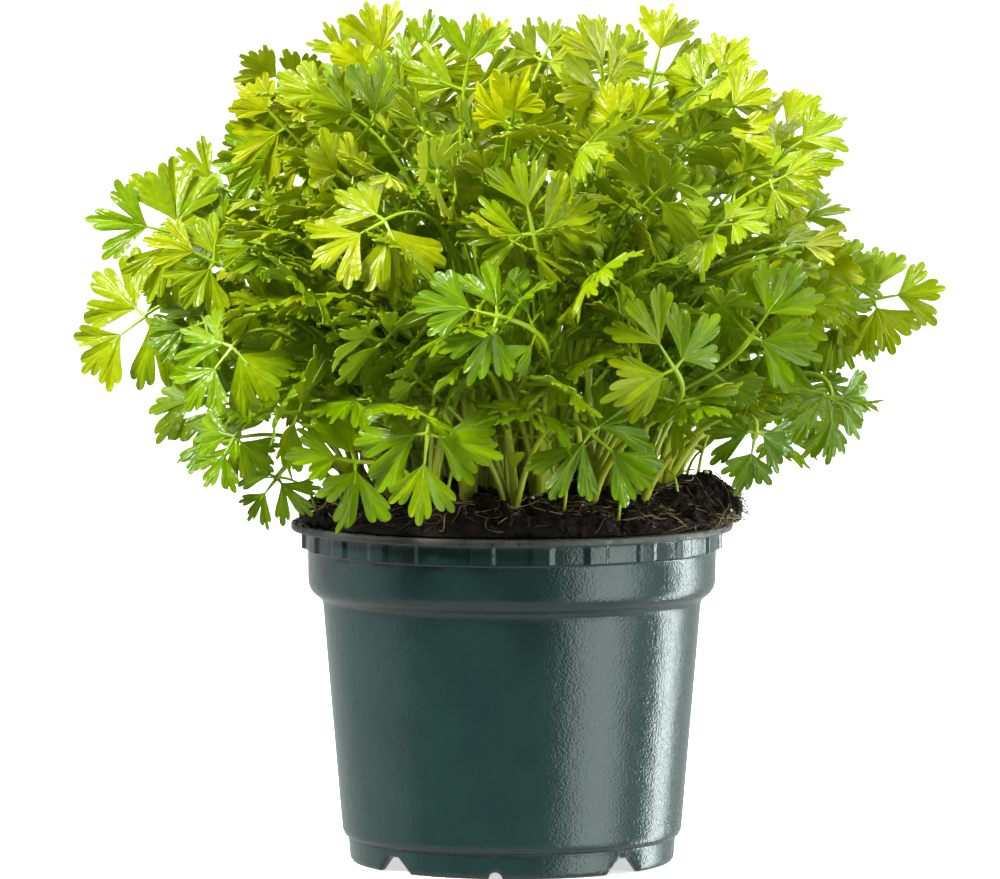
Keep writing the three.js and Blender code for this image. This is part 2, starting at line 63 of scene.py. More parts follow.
# ---- Nursery pot ----
# One moulding of dark green polypropylene with a wall of a millimetre: a tapered body, a shouldered collar, a grip ring
# of upright ribs under the flange, and a foot ring with four notches, a small arched slot in each foot and four drains.
POT_TURNS = 552  # columns round the pot: 24 for each rib
RIB_COUNT = 23
RIB_FIRST_DEG = -82.3
RIB_WIDTH_DEG = 6.0
RIB_SOFT_DEG = 0.7
RIB_PROUD = 0.75
GRIP_LOW, GRIP_HIGH = 92.35, 97.7
NOTCH_COUNT, NOTCH_FIRST_DEG = 4, -46.5
NOTCH_TOP_HALF, NOTCH_LOW_HALF, NOTCH_HEIGHT = 2.0, 6.5, 4.6
SLOT_FIRST_DEG = -96.0
SLOT_RADIUS = 2.0
FOOT_FROM, FOOT_INSIDE, FOOT_MIDDLE = 44.0, 45.0, 46.5  # radii: where it starts, inside of it, middle of its wall
FOOT_HEIGHT, BASE_HEIGHT = 7.4, 5.0
DRAIN_CIRCLE, DRAIN_RADIUS = 38.0, 4.0

# The section as [radius, z], from the middle of the underside, up the outside, over the flange and down the inside.
POT_SECTION = np.array([
    [0.0, 5.0], [20, 5], [33, 5], [38, 5], [38, 5], [43.8, 5], [44.5, 4.7], [44.9, 4.0], [45.1, 1.6], [45.3, 0.3],
    [45.6, 0.0], [46.6, 0.0], [47.2, 0.2], [47.6, 0.8], [47.8, 1.8], [47.9, 3.4], [48.1, 5.4], [48.3, 7.1], [48.4, 7.4],
    [48.9, 7.6], [49.3, 7.9], [49.8, 8.9], [50.05, 10.0], [50.15, 11.2], [50.9, 20], [52.6, 40], [54.3, 60],
    [55.5, 74.5], [55.7, 76.2], [55.95, 77.0], [56.6, 77.8], [57.7, 78.6], [58.7, 79.5], [59.4, 80.6],
    [59.8, 81.8], [60.0, 83.2], [60.05, 88], [60.1, 91.4], [60.25, 92.0], [60.7, 92.3], [61.15, 92.45],
    [61.2, 92.9], [61.2, 94.2], [61.2, 95.8], [61.2, 97.2], [61.4, 97.6], [62.2, 97.75], [64.3, 97.8],
    [64.8, 97.95], [65.0, 98.3], [65.0, 99.5], [64.85, 99.85], [64.4, 100.0], [62.0, 100.0], [61.0, 99.9],
    [60.4, 99.4], [60.1, 98.4], [59.2, 92.2], [59.0, 91.0], [59.0, 83.4], [58.7, 81.8], [57.9, 80.2],
    [56.6, 79.2], [55.2, 78.2], [54.75, 77.2], [54.5, 74.5], [51.6, 40], [49.1, 11.2], [48.6, 8.4], [46.9, 6.2],
    [44.0, 6.0], [38, 6], [38, 6], [33, 6], [20, 6], [0.0, 6.0],
])
ROWS = len(POT_SECTION)
FOOT_ROWS, OUTSIDE_ROWS = 19, 47  # the first rows of the section, up to the top of the foot and of the flange
DRAIN_ROWS = ((3, 4), (ROWS - 4, ROWS - 5))  # the near and far edges of the drains, below and above the base


def linear(code):
    """An sRGB hex colour as linear RGBA: c/12.92 below 0.04045, else ((c + 0.055)/1.055)^2.4."""
    shares = [int(code[i:i + 2], 16) / 255 for i in (1, 3, 5)]
    return [c / 12.92 if c <= 0.04045 else ((c + 0.055) / 1.055) ** 2.4 for c in shares] + [1.0]


def add_node(tree, kind, inputs=(), stops=(), **settings):
    """Adds a node with its settings and the stops of its ramp. Its inputs are values, sockets that it is linked to, or
    nodes that it is linked to by their first output."""
    node = tree.nodes.new("ShaderNode" + kind)
    for name, value in settings.items():
        setattr(node, name, value)
    for name, value in dict(inputs).items():
        if isinstance(value, bpy.types.Node):
            value = value.outputs[0]
        if isinstance(value, bpy.types.NodeSocket):
            tree.links.new(value, node.inputs[name])
        else:
            node.inputs[name].default_value = value
    for i, (place, value) in enumerate(stops):
        stop = node.color_ramp.elements[i] if i < 2 else node.color_ramp.elements.new(place)
        stop.position = place
        stop.color = value
    return node


def material_tree(name):
    """A new material and its empty tree."""
    material = bpy.data.materials.new(name)
    material.use_nodes = True
    material.node_tree.nodes.clear()
    return material, material.node_tree


WELD_REACH = 0.002


def make_piece(name, points, face_sets, materials, uv=None, attributes=(), sharp_deg=None, weld=False):
    """A mesh object from points in millimetres and sets of faces, each an array of corners and a material's number. In
    a welded one the points that lie on each other are merged, at its poles and at the ends of its drains."""
    mesh = bpy.data.meshes.new(name)
    corners = np.concatenate([faces.ravel() for faces, _ in face_sets]).astype(np.int32)
    widths = np.concatenate([np.full(len(faces), faces.shape[1]) for faces, _ in face_sets])
    slots = np.concatenate([np.full(len(faces), slot) for faces, slot in face_sets]).astype(np.int32)
    mesh.vertices.add(len(points))
    mesh.vertices.foreach_set("co", (points * MM).astype(np.float32).ravel())
    mesh.loops.add(len(corners))
    mesh.loops.foreach_set("vertex_index", corners)
    mesh.polygons.add(len(widths))
    mesh.polygons.foreach_set("loop_start", (np.cumsum(widths) - widths).astype(np.int32))
    mesh.polygons.foreach_set("material_index", slots)
    mesh.update(calc_edges=True)
    mesh.shade_smooth()
    if uv is not None:
        mesh.uv_layers.new(name="UVMap").data.foreach_set("uv", uv[corners].astype(np.float32).ravel())
    for label, values in dict(attributes).items():
        mesh.attributes.new(label, "FLOAT", "POINT").data.foreach_set("value", values.astype(np.float32))
    if weld:
        merged = bmesh.new()
        merged.from_mesh(mesh)
        bmesh.ops.remove_doubles(merged, verts=merged.verts, dist=WELD_REACH * MM)
        merged.to_mesh(mesh)
        merged.free()
    if sharp_deg is not None:
        mesh.set_sharp_from_angle(angle=math.radians(sharp_deg))
    for material in materials:
        mesh.materials.append(material)
    piece = bpy.data.objects.new(name, mesh)
    bpy.context.collection.objects.link(piece)
    return piece


def quads(*corners):
    """Quads from the arrays of their first, second, third and fourth corners."""
    return np.stack(corners, axis=-1).reshape(-1, 4)


def turned_faces(columns, rows):
    """Quads of a surface of columns round an axis and rows along its section, closed on itself round the axis."""
    index = np.arange(columns * rows).reshape(columns, rows)
    after = np.roll(index, -1, axis=0)
    return quads(index[:, :-1], after[:, :-1], after[:, 1:], index[:, 1:])


def round_axis(radius, angle, z):
    """Points round the pot's axis: x is the radius times the cosine of the angle, y the radius times its sine."""
    return np.stack(np.broadcast_arrays(radius * np.cos(angle), radius * np.sin(angle), z), axis=-1)


def arc_from(angle_deg, first_deg, repeats):
    """Signed angle in degrees from the nearest of a number of even places round the pot."""
    period = 360 / repeats
    return (angle_deg - first_deg + period / 2) % period - period / 2


def drain_half(angle_deg):
    """The angle w from the nearest drain, and half its radial width there: sqrt(r^2 - (R sin w)^2), or 0 beyond it."""
    off_drain = np.radians(arc_from(angle_deg, NOTCH_FIRST_DEG, NOTCH_COUNT))
    return off_drain, np.sqrt(np.clip(DRAIN_RADIUS ** 2 - (DRAIN_CIRCLE * np.sin(off_drain)) ** 2, 0, None))


def pot_surface():
    """The section turned round the axis. In the grip ring the radius grows by a rib's height times a smooth step of the
    angle from the rib. In the foot, z is squeezed upwards to lie above the notches, which are trapezia, and the slots,
    which are half circles: z becomes h + z (H - h) / H, with h the opening's height at that angle and H the foot's. At
    the drains the two rows that lie on their circle part by its half width at that angle."""
    angle = np.arange(POT_TURNS) * 360 / POT_TURNS
    radius, z = (np.repeat(POT_SECTION[None, :, k], POT_TURNS, axis=0) for k in (0, 1))

    off_rib = np.abs(arc_from(angle, RIB_FIRST_DEG, RIB_COUNT))
    rib = np.clip((RIB_WIDTH_DEG / 2 + RIB_SOFT_DEG / 2 - off_rib) / RIB_SOFT_DEG, 0, 1)
    rib = rib * rib * (3 - 2 * rib)
    outside = np.arange(ROWS) < OUTSIDE_ROWS
    in_grip = outside & (POT_SECTION[:, 1] >= GRIP_LOW) & (POT_SECTION[:, 1] <= GRIP_HIGH)
    radius = radius + RIB_PROUD * rib[:, None] * in_grip[None, :]

    off_notch = np.abs(np.radians(arc_from(angle, NOTCH_FIRST_DEG, NOTCH_COUNT))) * FOOT_MIDDLE
    off_slot = np.abs(np.radians(arc_from(angle, SLOT_FIRST_DEG, NOTCH_COUNT))) * FOOT_MIDDLE
    notch = np.clip((NOTCH_LOW_HALF - off_notch) / (NOTCH_LOW_HALF - NOTCH_TOP_HALF), 0, 1) * NOTCH_HEIGHT
    slot = np.sqrt(np.clip(SLOT_RADIUS ** 2 - off_slot ** 2, 0, None))
    opening = np.maximum(notch, slot)[:, None]
    foot = (np.arange(ROWS) < FOOT_ROWS)[None, :] & (radius > FOOT_FROM)
    low = np.where(radius < FOOT_INSIDE, BASE_HEIGHT, FOOT_HEIGHT)
    z = np.where(foot & (z < low), opening + z * (low - opening) / low, z)

    off_drain, half = drain_half(angle)
    middle = DRAIN_CIRCLE * np.cos(np.where(half > 0, off_drain, math.asin(DRAIN_RADIUS / DRAIN_CIRCLE)))
    for near, far in DRAIN_ROWS:
        radius[:, near], radius[:, far] = middle - half, middle + half

    return round_axis(radius, np.radians(angle)[:, None], z)


def pot_faces():
    """The turned quads without the strips between the edges of the drains, and the drains' own walls."""
    strips = turned_faces(POT_TURNS, ROWS).reshape(POT_TURNS, ROWS - 1, 4)
    kept = np.ones(ROWS - 1, bool)
    kept[[min(pair) for pair in DRAIN_ROWS]] = False
    (near_low, far_low), (near_top, far_top) = DRAIN_ROWS
    index = np.arange(POT_TURNS * ROWS).reshape(POT_TURNS, ROWS)
    after = np.roll(index, -1, axis=0)
    half = drain_half(np.arange(POT_TURNS) * 360 / POT_TURNS)[1]
    open_here = (half + np.roll(half, -1)) > 0
    near_wall = quads(index[:, near_low], after[:, near_low], after[:, near_top], index[:, near_top])
    far_wall = quads(index[:, far_low], index[:, far_top], after[:, far_top], after[:, far_low])
    return np.concatenate([strips[:, kept].reshape(-1, 4), near_wall[open_here], far_wall[open_here]])


# Dark green polypropylene, injection-moulded against polished steel. The eye sees a soft gloss that an orange peel of
# about three quarters of a millimetre and slower sink marks break up, faint streaks of tone where the melt flowed, and
# brown grime in patches on the flange.
STREAK_SIZE, SINK_SIZE, GRIME_SIZE, PEEL_SIZE, PEEL_DEPTH = 18.18, 6.25, 2.381, 0.7692, 0.18
GRIME_FROM, GRIME_FULL = 97.2, 99.4
pot_plastic, tree = material_tree("moulded_polypropylene")
place = add_node(tree, "TexCoord").outputs["Object"]
streaks = add_node(tree, "TexNoise", {"Vector": place, "Scale": 1 / (STREAK_SIZE * MM), "Detail": 4.0,
                                      "Roughness": 0.6})
tint = add_node(tree, "ValToRGB", {"Fac": streaks}, stops=[(0.3, linear("#182b29")), (0.72, linear("#1e332f"))])
height = add_node(tree, "SeparateXYZ", {"Vector": place}).outputs["Z"]
on_rim = add_node(tree, "MapRange", {"Value": height, "From Min": GRIME_FROM * MM, "From Max": GRIME_FULL * MM})
grime = add_node(tree, "TexNoise", {"Vector": place, "Scale": 1 / (GRIME_SIZE * MM), "Detail": 6.0, "Roughness": 0.7})
grime_patch = add_node(tree, "MapRange", {"Value": grime, "From Min": 0.34, "From Max": 0.62})
dusty = add_node(tree, "Math", {0: on_rim, 1: grime_patch}, operation="MULTIPLY")
dusted = add_node(tree, "Mix", {0: dusty, 6: tint, 7: linear("#4c4138")}, data_type="RGBA").outputs[2]
peel = add_node(tree, "TexNoise", {"Vector": place, "Scale": 1 / (PEEL_SIZE * MM), "Detail": 2.0, "Roughness": 0.5})
sink = add_node(tree, "TexNoise", {"Vector": place, "Scale": 1 / (SINK_SIZE * MM), "Detail": 1.0})
relief = add_node(tree, "Math", {0: peel, 1: sink}, operation="ADD")
bump = add_node(tree, "Bump", {"Height": relief, "Strength": 0.75, "Distance": PEEL_DEPTH * MM})
gloss = add_node(tree, "MapRange", {"Value": dusty, "To Min": 0.21, "To Max": 0.85})
surface = add_node(tree, "BsdfPrincipled", {"Base Color": dusted, "Roughness": gloss, "Normal": bump, "IOR": 1.49,
                                            "Specular IOR Level": 0.4})
add_node(tree, "OutputMaterial", {"Surface": surface})

pot = make_piece("nursery_pot", pot_surface().reshape(-1, 3), [(pot_faces(), 0)], [pot_plastic], sharp_deg=50,
                 weld=True)
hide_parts("pot")
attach(pot, "root")

# ---- Peat ----
# Moist dark moss peat, filled in loose and pressed into one plug in the shape of the pot's inside. Its top is crumbly
# and full of short fibres, domed inside the rim and heaped over it on the right.
PEAT_EDGE_RADIUS, PEAT_EDGE_Z, PEAT_DOME = 62.6, 102.0, 9.0
CLOD = {"x": 57.0, "y": 2.0, "spread": 11.0, "height": 7.5, "overhang": 5.0, "sweep": 0.38}  # the sweep in radians
EDGE_WAVE, EDGE_RAGGED, EDGE_DROP = 0.6, 0.8, 2.2
EDGE_FROM, EDGE_REACH = 0.955, 0.045  # the drop starts at this share of the radius, and ends so much further out
PEAT_UNDER, UNDERCUT = 100.35, 0.6  # the underside of what hangs over the flange, whose top is at 100
OVERHANG_THICK, OVERHANG_ROUGH = 0.35, 0.3
PEAT_TURNS, PEAT_RINGS, RING_POWER = 420, 150, 0.85  # the rings lie closer together towards the edge
NOISE_CELLS = 64


def peat_top(x, y):
    """Height of the peat: a flat dome, 1 - share^4 of its rise, with slow waves and a bell-shaped clod."""
    share = np.minimum(1, np.hypot(x, y) / PEAT_EDGE_RADIUS)
    waves = 1.2 * np.sin(0.21 * x + 1.3) * np.cos(0.19 * y - 0.4) + 0.7 * np.sin(0.43 * x + 0.31 * y)
    heap = np.exp(-((x - CLOD["x"]) ** 2 + (y - CLOD["y"]) ** 2) / (2 * CLOD["spread"] ** 2))
    return PEAT_EDGE_Z + PEAT_DOME * (1 - share ** 4) + waves + CLOD["height"] * heap


def peat_edge(angle):
    """Radius of the peat's edge: round, with five slow waves and a bulge at the clod."""
    offset = np.arctan2(np.sin(angle), np.cos(angle))
    bulge = CLOD["overhang"] * np.exp(-((offset / CLOD["sweep"]) ** 2))
    return PEAT_EDGE_RADIUS + EDGE_WAVE * np.sin(5 * angle) + bulge


def value_noise(x, y, cell, seed):
    """Smooth noise in -1..1: random heights on a square lattice, blended across each cell by 3t^2 - 2t^3."""
    table = np.random.default_rng(seed).uniform(-1, 1, (NOISE_CELLS, NOISE_CELLS))
    u, v = x / cell, y / cell
    i, j = np.floor(u).astype(int), np.floor(v).astype(int)
    s, t = (w * w * (3 - 2 * w) for w in (u - i, v - j))
    i, next_i, j, next_j = (k % NOISE_CELLS for k in (i, i + 1, j, j + 1))
    low, high = ((1 - s) * table[i, row] + s * table[next_i, row] for row in (j, next_j))
    return (1 - t) * low + t * high


def crumbly_top(x, y):
    """The peat's height with crumbs: four sizes of noise added, the second one folded so that it stands in ridges."""
    crumbs = 1.3 * value_noise(x, y, 6.5, 1) + 1.5 * (0.5 - np.abs(value_noise(x, y, 3.1, 2)))
    return peat_top(x, y) + crumbs + 0.55 * value_noise(x, y, 1.4, 3) + 0.25 * value_noise(x, y, 0.7, 4)


def peat_height(x, y, edge):
    """The crumbly height, dropping near the edge by the square of the way into the drop, but no lower than just above
    the flange."""
    fall = np.clip((np.hypot(x, y) / edge - EDGE_FROM) / EDGE_REACH, 0, 1) ** 2
    lowest = PEAT_UNDER + OVERHANG_THICK + OVERHANG_ROUGH * value_noise(x, y, 2.0, 6)
    return np.maximum(crumbly_top(x, y) - EDGE_DROP * fall, lowest)


def peat_surface():
    """A polar grid: rings from the ragged edge to the middle lie on the peat's height, and the plug's wall goes down
    inside the pot to its base."""
    angle = np.arange(PEAT_TURNS) * 2 * np.pi / PEAT_TURNS
    wall = np.array([[0, 6.35], [45, 6.35], [48.6, 11.4], [54.2, 77.4], [58.5, 84.4], [58.5, PEAT_UNDER]])
    share = (1 - np.linspace(0, 1, PEAT_RINGS)) ** RING_POWER
    edge = peat_edge(angle) + EDGE_RAGGED * value_noise(65 * np.cos(angle), 65 * np.sin(angle), 4.0, 5)
    radius = edge[:, None] * share[None, :]
    x, y = radius * np.cos(angle)[:, None], radius * np.sin(angle)[:, None]
    top = np.stack([x, y, peat_height(x, y, edge[:, None])], axis=-1)
    ring = np.stack([np.cos(angle), np.sin(angle)], axis=-1)
    side = np.concatenate([wall[None, :, :1] * ring[:, None, :], np.repeat(wall[None, :, 1:], PEAT_TURNS, 0)], axis=-1)
    under = np.concatenate([ring * (edge - UNDERCUT)[:, None], np.full((PEAT_TURNS, 1), PEAT_UNDER)], axis=-1)[:, None]
    return np.concatenate([side, under, top], axis=1)


# Moist moss peat, milled and sieved: matt and nearly black, because water fills its pores, with rusty specks of bark
# and dry fibre. Clumps of about four millimetres break up into grains of about one and a half.
CLUMP_SIZE, GRAIN_SIZE, PEAT_RELIEF = 3.846, 1.4286, 0.8
peat_stuff, tree = material_tree("moist_peat")
place = add_node(tree, "TexCoord").outputs["Object"]
clumps = add_node(tree, "TexNoise", {"Vector": place, "Scale": 1 / (CLUMP_SIZE * MM), "Detail": 8.0, "Roughness": 0.75})
browns = add_node(tree, "ValToRGB", {"Fac": clumps},
                  stops=[(0.36, linear("#0b0806")), (0.58, linear("#1b120c")), (0.78, linear("#4e3019"))])
grains = add_node(tree, "TexVoronoi", {"Vector": place, "Scale": 1 / (GRAIN_SIZE * MM)})
relief = add_node(tree, "Math", {0: clumps, 1: grains}, operation="ADD")
bump = add_node(tree, "Bump", {"Height": relief, "Strength": 0.9, "Distance": PEAT_RELIEF * MM})
surface = add_node(tree, "BsdfPrincipled", {"Base Color": browns, "Roughness": 0.88, "Normal": bump,
                                            "Specular IOR Level": 0.2})
add_node(tree, "OutputMaterial", {"Surface": surface})

points = peat_surface()
peat = make_piece("peat_plug", points.reshape(-1, 3), [(turned_faces(*points.shape[:2]), 0)], [peat_stuff], weld=True)
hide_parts("peat")
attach(peat, "root")

# ---- Parsley: where it grows ----
# Seedlings from one sowing stand in the peat, here on an even spiral. Each sends up leaves on long stalks: first the
# leading leaves at set places, then leaves on two shells of the dome, drawn from fixed seeds and kept where they touch
# nothing.
PLANT_COUNT = 43
CROWN_CIRCLE, CROWN_SHOW = 47.5, 2.5
GOLDEN_TURN = math.pi * (3 - math.sqrt(5))
DOME = {"z": 142.0, "wide": 88.0, "deep": 85.0, "up": 88.0, "down": 32.0, "fullness": 0.72}
LEAN_MAX, LEAN_POWER = math.radians(108), 0.95
STALK_SPREAD, STALK_LOW_RADIUS = 1.3, 1.05
NECK_SHARE, SIDE_NECK_SHARE = 0.34, 0.15
SIDE_ANGLE, SIDE_SHARE = math.radians(78), 0.88
FLANGE_RADIUS, POT_HEIGHT = 65.0, 100.0
SHELLS, TRIES = (1, 0.8), 70
CLEARANCE, BALL_STEP, LOW_BALLS = 0.8, 4.0, 4
STALKS_A_TURN, STALK_START = 3, 0.6  # a crown's stalks stand at thirds of a turn and start so far down in it
STALK_LEAN, STALK_RISE, STALK_BEND = 0.2, 0.42, 0.3  # where the bends of its curve lie, as shares of its reach
SIDE_DROP, BALL_DROP = 0.12, 0.12
RIM_MARGIN, PEAT_MARGIN, NEIGHBOUR_REACH = 6.0, 1.0, 14.0
# What a drawn leaf may vary by: the pairs are the least and how much more.
LEAN_STRAY, TURN_STRAY, SHELL_STRAY, DROOP = (0.16, 0.3), (0.2, 0.5), 0.05, (0.15, 0.75)
AXIS_OUT, AXIS_STRAY, FACE_STRAY, FACE_UP, LEAF_SIZE = 0.5, 0.35, 0.5, (0.6, 0.3), (18, 6)
BLADE_BALLS = ((0.16, 0, 0.16), (0.42, 0, 0.24), (0.8, 0, 0.24), (0.36, 0.38, 0.2), (0.36, -0.38, 0.2),
               (0.64, 0.44, 0.23), (0.64, -0.44, 0.23))
# Where a leading leaf joins its stalk, where its middle leaflet points, where its face looks, and its size.
LEADING_LEAVES = (
    ((-97, -25, 186), (-0.97, -0.1, 0.2), (0.05, -0.95, 0.25), 26),
    ((-107.5, -8, 161), (-0.75, 0, -0.6), (-0.1, -0.9, 0.3), 26),
    ((-80, -58, 155), (-0.6, -0.2, -0.75), (-0.3, -0.85, 0.4), 23),
    ((-80, -42, 128), (-0.5, -0.1, -0.85), (-0.2, -0.9, 0.3), 17),
    ((-68, -40, 116), (-0.6, 0, -0.8), (-0.2, -0.9, 0.3), 16),
    ((-68, 2, 207), (-0.3, 0, 0.95), (0, -0.85, 0.5), 22),
    ((-49, -22, 222), (-0.8, 0, 0.5), (0, -0.85, 0.5), 21),
    ((-36, 4, 231), (-0.3, 0, 0.95), (0, -0.9, 0.4), 23),
    ((-14, -14, 227), (0.15, 0, 1), (0.1, -0.9, 0.4), 24),
    ((14, 10, 222), (0.3, 0, 0.95), (-0.1, -0.9, 0.3), 24),
    ((27, -22, 228), (-0.1, -0.4, 0.9), (0.1, -0.5, 0.85), 22),
    ((42, 24, 231), (0.25, 0, 0.95), (0, -0.9, 0.2), 22),
    ((60, -8, 216), (0.6, 0, 0.8), (-0.1, -0.75, 0.6), 22),
    ((78, -5, 208), (0.8, 0, 0.5), (-0.2, -0.65, 0.7), 23),
    ((105.5, -10, 166), (0.97, 0, 0.15), (0, -0.95, 0.25), 21),
    ((93, -22, 138), (0, -0.1, -1), (0.45, -0.9, 0.1), 20),
    ((70, -52, 130), (-0.2, -0.1, -1), (0.3, -0.9, 0), 18),
    ((-36, -78, 192), (-0.75, -0.3, -0.4), (0, -0.75, 0.65), 24),
    ((-4, -99, 166), (-0.95, -0.2, 0.25), (0.1, -0.85, 0.5), 24),
    ((-24, -84, 132), (-0.1, -0.15, -1), (0, -0.95, 0.25), 25),
    ((46, -82, 150), (-0.5, -0.2, 0.8), (0.1, -0.9, 0.4), 25),
    ((22, -78, 132), (0.7, -0.2, -0.6), (0, -0.8, 0.6), 25),
    ((6, -80, 188), (-0.2, -0.1, 0.9), (0, -0.9, 0.4), 24),
    ((68, -64, 158), (0.5, -0.2, 0.75), (0.2, -0.9, 0.3), 24),
)


def draws(seed):
    """Mulberry32: a function that gives evenly spread numbers from 0 to 1 that follow from the seed."""
    full = 0xFFFFFFFF
    state = [seed & full]

    def draw():
        """The next number."""
        state[0] = (state[0] + 0x6D2B79F5) & full
        t = ((state[0] ^ (state[0] >> 15)) * (state[0] | 1)) & full
        t ^= (t + (((t ^ (t >> 7)) * (t | 61)) & full)) & full
        return (t ^ (t >> 14)) / 4294967296

    return draw


def unit(v):
    """Vectors scaled to length one along the last axis."""
    return v / np.maximum(np.linalg.norm(v, axis=-1, keepdims=True), 1e-12)


def on_curve(bends, t):
    """Points of cubic curves: the four bends weighted by (1-t)^3, 3(1-t)^2 t, 3(1-t) t^2 and t^3."""
    weights = np.stack([(1 - t) ** 3, 3 * (1 - t) ** 2 * t, 3 * (1 - t) * t ** 2, t ** 3], axis=-1)
    return weights @ bends


def leaf_at(crown, hub, axis, face, size):
    """A leaf: its stalk's curve from the crown to the hub, and its axis, side and face at the hub."""
    hub, a = np.array(hub, float), unit(np.array(axis, float))
    face = np.array(face, float)
    n = unit(face - a * (face @ a))
    turn = crown["angle"] + len(crown["leaves"]) * 2 * math.pi / STALKS_A_TURN
    foot = np.array([crown["x"] + STALK_SPREAD * math.cos(turn), crown["y"] + STALK_SPREAD * math.sin(turn),
                     crown["z"] + CROWN_SHOW - STALK_START])
    reach = np.linalg.norm(hub - foot)
    lean = (hub - foot) * (STALK_LEAN, STALK_LEAN, 0)
    bends = np.array([foot, foot + lean + (0, 0, STALK_RISE * reach), hub - STALK_BEND * reach * a, hub])
    return {"hub": hub, "a": a, "s": np.cross(n, a), "n": n, "size": size, "bends": bends}


def leaflet_frames(leaf):
    """The leaf's three leaflets, the middle one first: axis, side, face, length and length of neck of each."""
    frames = [(leaf["a"], leaf["s"], leaf["n"], leaf["size"], NECK_SHARE * leaf["size"])]
    for hand in (1, -1):
        a = unit(math.cos(SIDE_ANGLE) * leaf["a"] + hand * math.sin(SIDE_ANGLE) * leaf["s"] - SIDE_DROP * leaf["n"])
        n = unit(leaf["n"] - a * (leaf["n"] @ a))
        size = SIDE_SHARE * leaf["size"]
        frames.append((a, np.cross(n, a), n, size, SIDE_NECK_SHARE * size))
    return frames


def cover_of(leaf):
    """Balls over a leaf as rows of x, y, z and radius: close together along its stalk, then over its leaflets."""
    length = np.linalg.norm(np.diff(on_curve(leaf["bends"], np.linspace(0, 1, 201)), axis=0), axis=1).sum()
    steps = math.ceil(length / BALL_STEP)
    stalk = on_curve(leaf["bends"], np.arange(1, steps + 1) / steps)
    balls = [np.column_stack([stalk, np.full(steps, STALK_LOW_RADIUS)])]
    for a, s, n, size, neck in leaflet_frames(leaf):
        blade = size - neck
        balls.append([[*(leaf["hub"] + 0.5 * neck * a), 0.25 * neck]])
        balls.append([[*(leaf["hub"] + (neck + along * blade) * a + side * blade * s - BALL_DROP * along * blade * n),
                       radius * blade] for along, side, radius in BLADE_BALLS])
    return np.concatenate(balls)


def is_clear(balls, crown, standing, clearance=CLEARANCE):
    """True if the balls stay off the pot, the peat and every ball that stands already."""
    x, y, z, r = balls.T
    out = np.hypot(x, y)
    floor = np.where(out < FLANGE_RADIUS, peat_top(x, y), POT_HEIGHT)
    order = np.arange(len(balls))
    if np.any((order > 1) & (out < FLANGE_RADIUS + RIM_MARGIN + r) & (z < floor + r + PEAT_MARGIN)):
        return False
    others, owner, low = standing
    around = np.all(np.abs(others[:, :3] - (balls.max(0) + balls.min(0))[:3] / 2)
                    < np.ptp(balls[:, :3], axis=0) / 2 + NEIGHBOUR_REACH, axis=1)
    others, owner, low = others[around], owner[around], low[around]
    apart = sum((balls[:, None, k] - others[None, :, k]) ** 2 for k in range(3))
    near = apart < (r[:, None] + others[None, :, 3] + clearance) ** 2
    own = owner == crown["number"]
    near &= ~(own[None, :] & (low[None, :] | (order[:, None] < LOW_BALLS)))
    return not near.any()


def drawn_leaf(crown, depth, seed, wildness, facing_out=0.9):
    """A leaf drawn by the rule: its hub on a shell of the dome above its crown, leaning out with it. The wilder the
    draw, the further it may stray, and the further out it leans, the more it may droop."""
    draw = draws(seed)

    def jitter():
        """The next number, from -1 to 1."""
        return (draw() - 0.5) * 2

    def full(share):
        """A share of the dome, swollen towards its corners: its size to the power of the fullness."""
        return math.copysign(abs(share) ** DOME["fullness"], share)

    lean_stray, turn_stray = (least + more * wildness for least, more in (LEAN_STRAY, TURN_STRAY))
    lean = LEAN_MAX * crown["share"] ** LEAN_POWER + lean_stray * jitter()
    turn = crown["angle"] + (turn_stray * jitter()) / max(0.25, math.sin(abs(lean)))
    shell = depth * (1 + SHELL_STRAY * jitter())
    out = np.array([math.cos(turn), math.sin(turn), 0.0])
    spread = shell * full(math.sin(lean))
    rise = shell * full(math.cos(lean)) * (DOME["up"] if lean < math.pi / 2 else DOME["down"])
    hub = np.array([spread * out[0] * DOME["wide"], spread * out[1] * DOME["deep"], DOME["z"] + rise])
    droop = DROOP[0] + DROOP[1] * math.sin(lean) * draw()
    axis = unit(hub - (crown["x"], crown["y"], crown["z"])) + AXIS_OUT * out
    axis = axis + (AXIS_STRAY * jitter(), AXIS_STRAY * jitter(), -droop)
    face = np.array([FACE_STRAY * jitter(), FACE_STRAY * jitter(), FACE_UP[0] + FACE_UP[1] * jitter()])
    return leaf_at(crown, hub, axis, face + facing_out * out, LEAF_SIZE[0] + LEAF_SIZE[1] * depth * draw())


def crown_order(hub, free):
    """The free crowns in the order that suits a leaf at this hub: the more it leans out, the nearer the rim."""
    out = math.hypot(hub[0], hub[1])
    lean = math.atan2(out, hub[2] - DOME["z"])
    radius = CROWN_CIRCLE * min(1, lean / LEAN_MAX) ** (1 / LEAN_POWER)
    x, y = radius * hub[0] / out, radius * hub[1] / out
    return sorted(free, key=lambda crown: math.hypot(crown["x"] - x, crown["y"] - y))


def grow(crown, leaf, standing):
    """Adds a leaf to its crown and its balls to those that stand."""
    crown["leaves"].append(leaf)
    balls = cover_of(leaf)
    others, owner, low = standing
    return (np.concatenate([others, balls]), np.concatenate([owner, np.full(len(balls), crown["number"])]),
            np.concatenate([low, np.arange(len(balls)) < LOW_BALLS]))


crowns = []
for number in range(PLANT_COUNT):
    share = math.sqrt((number + 0.5) / PLANT_COUNT)
    angle = number * GOLDEN_TURN
    x, y = CROWN_CIRCLE * share * math.cos(angle), CROWN_CIRCLE * share * math.sin(angle)
    crowns.append({"number": number, "x": x, "y": y, "z": float(peat_top(x, y)), "share": share, "angle": angle,
                   "leaves": [], "extras": []})

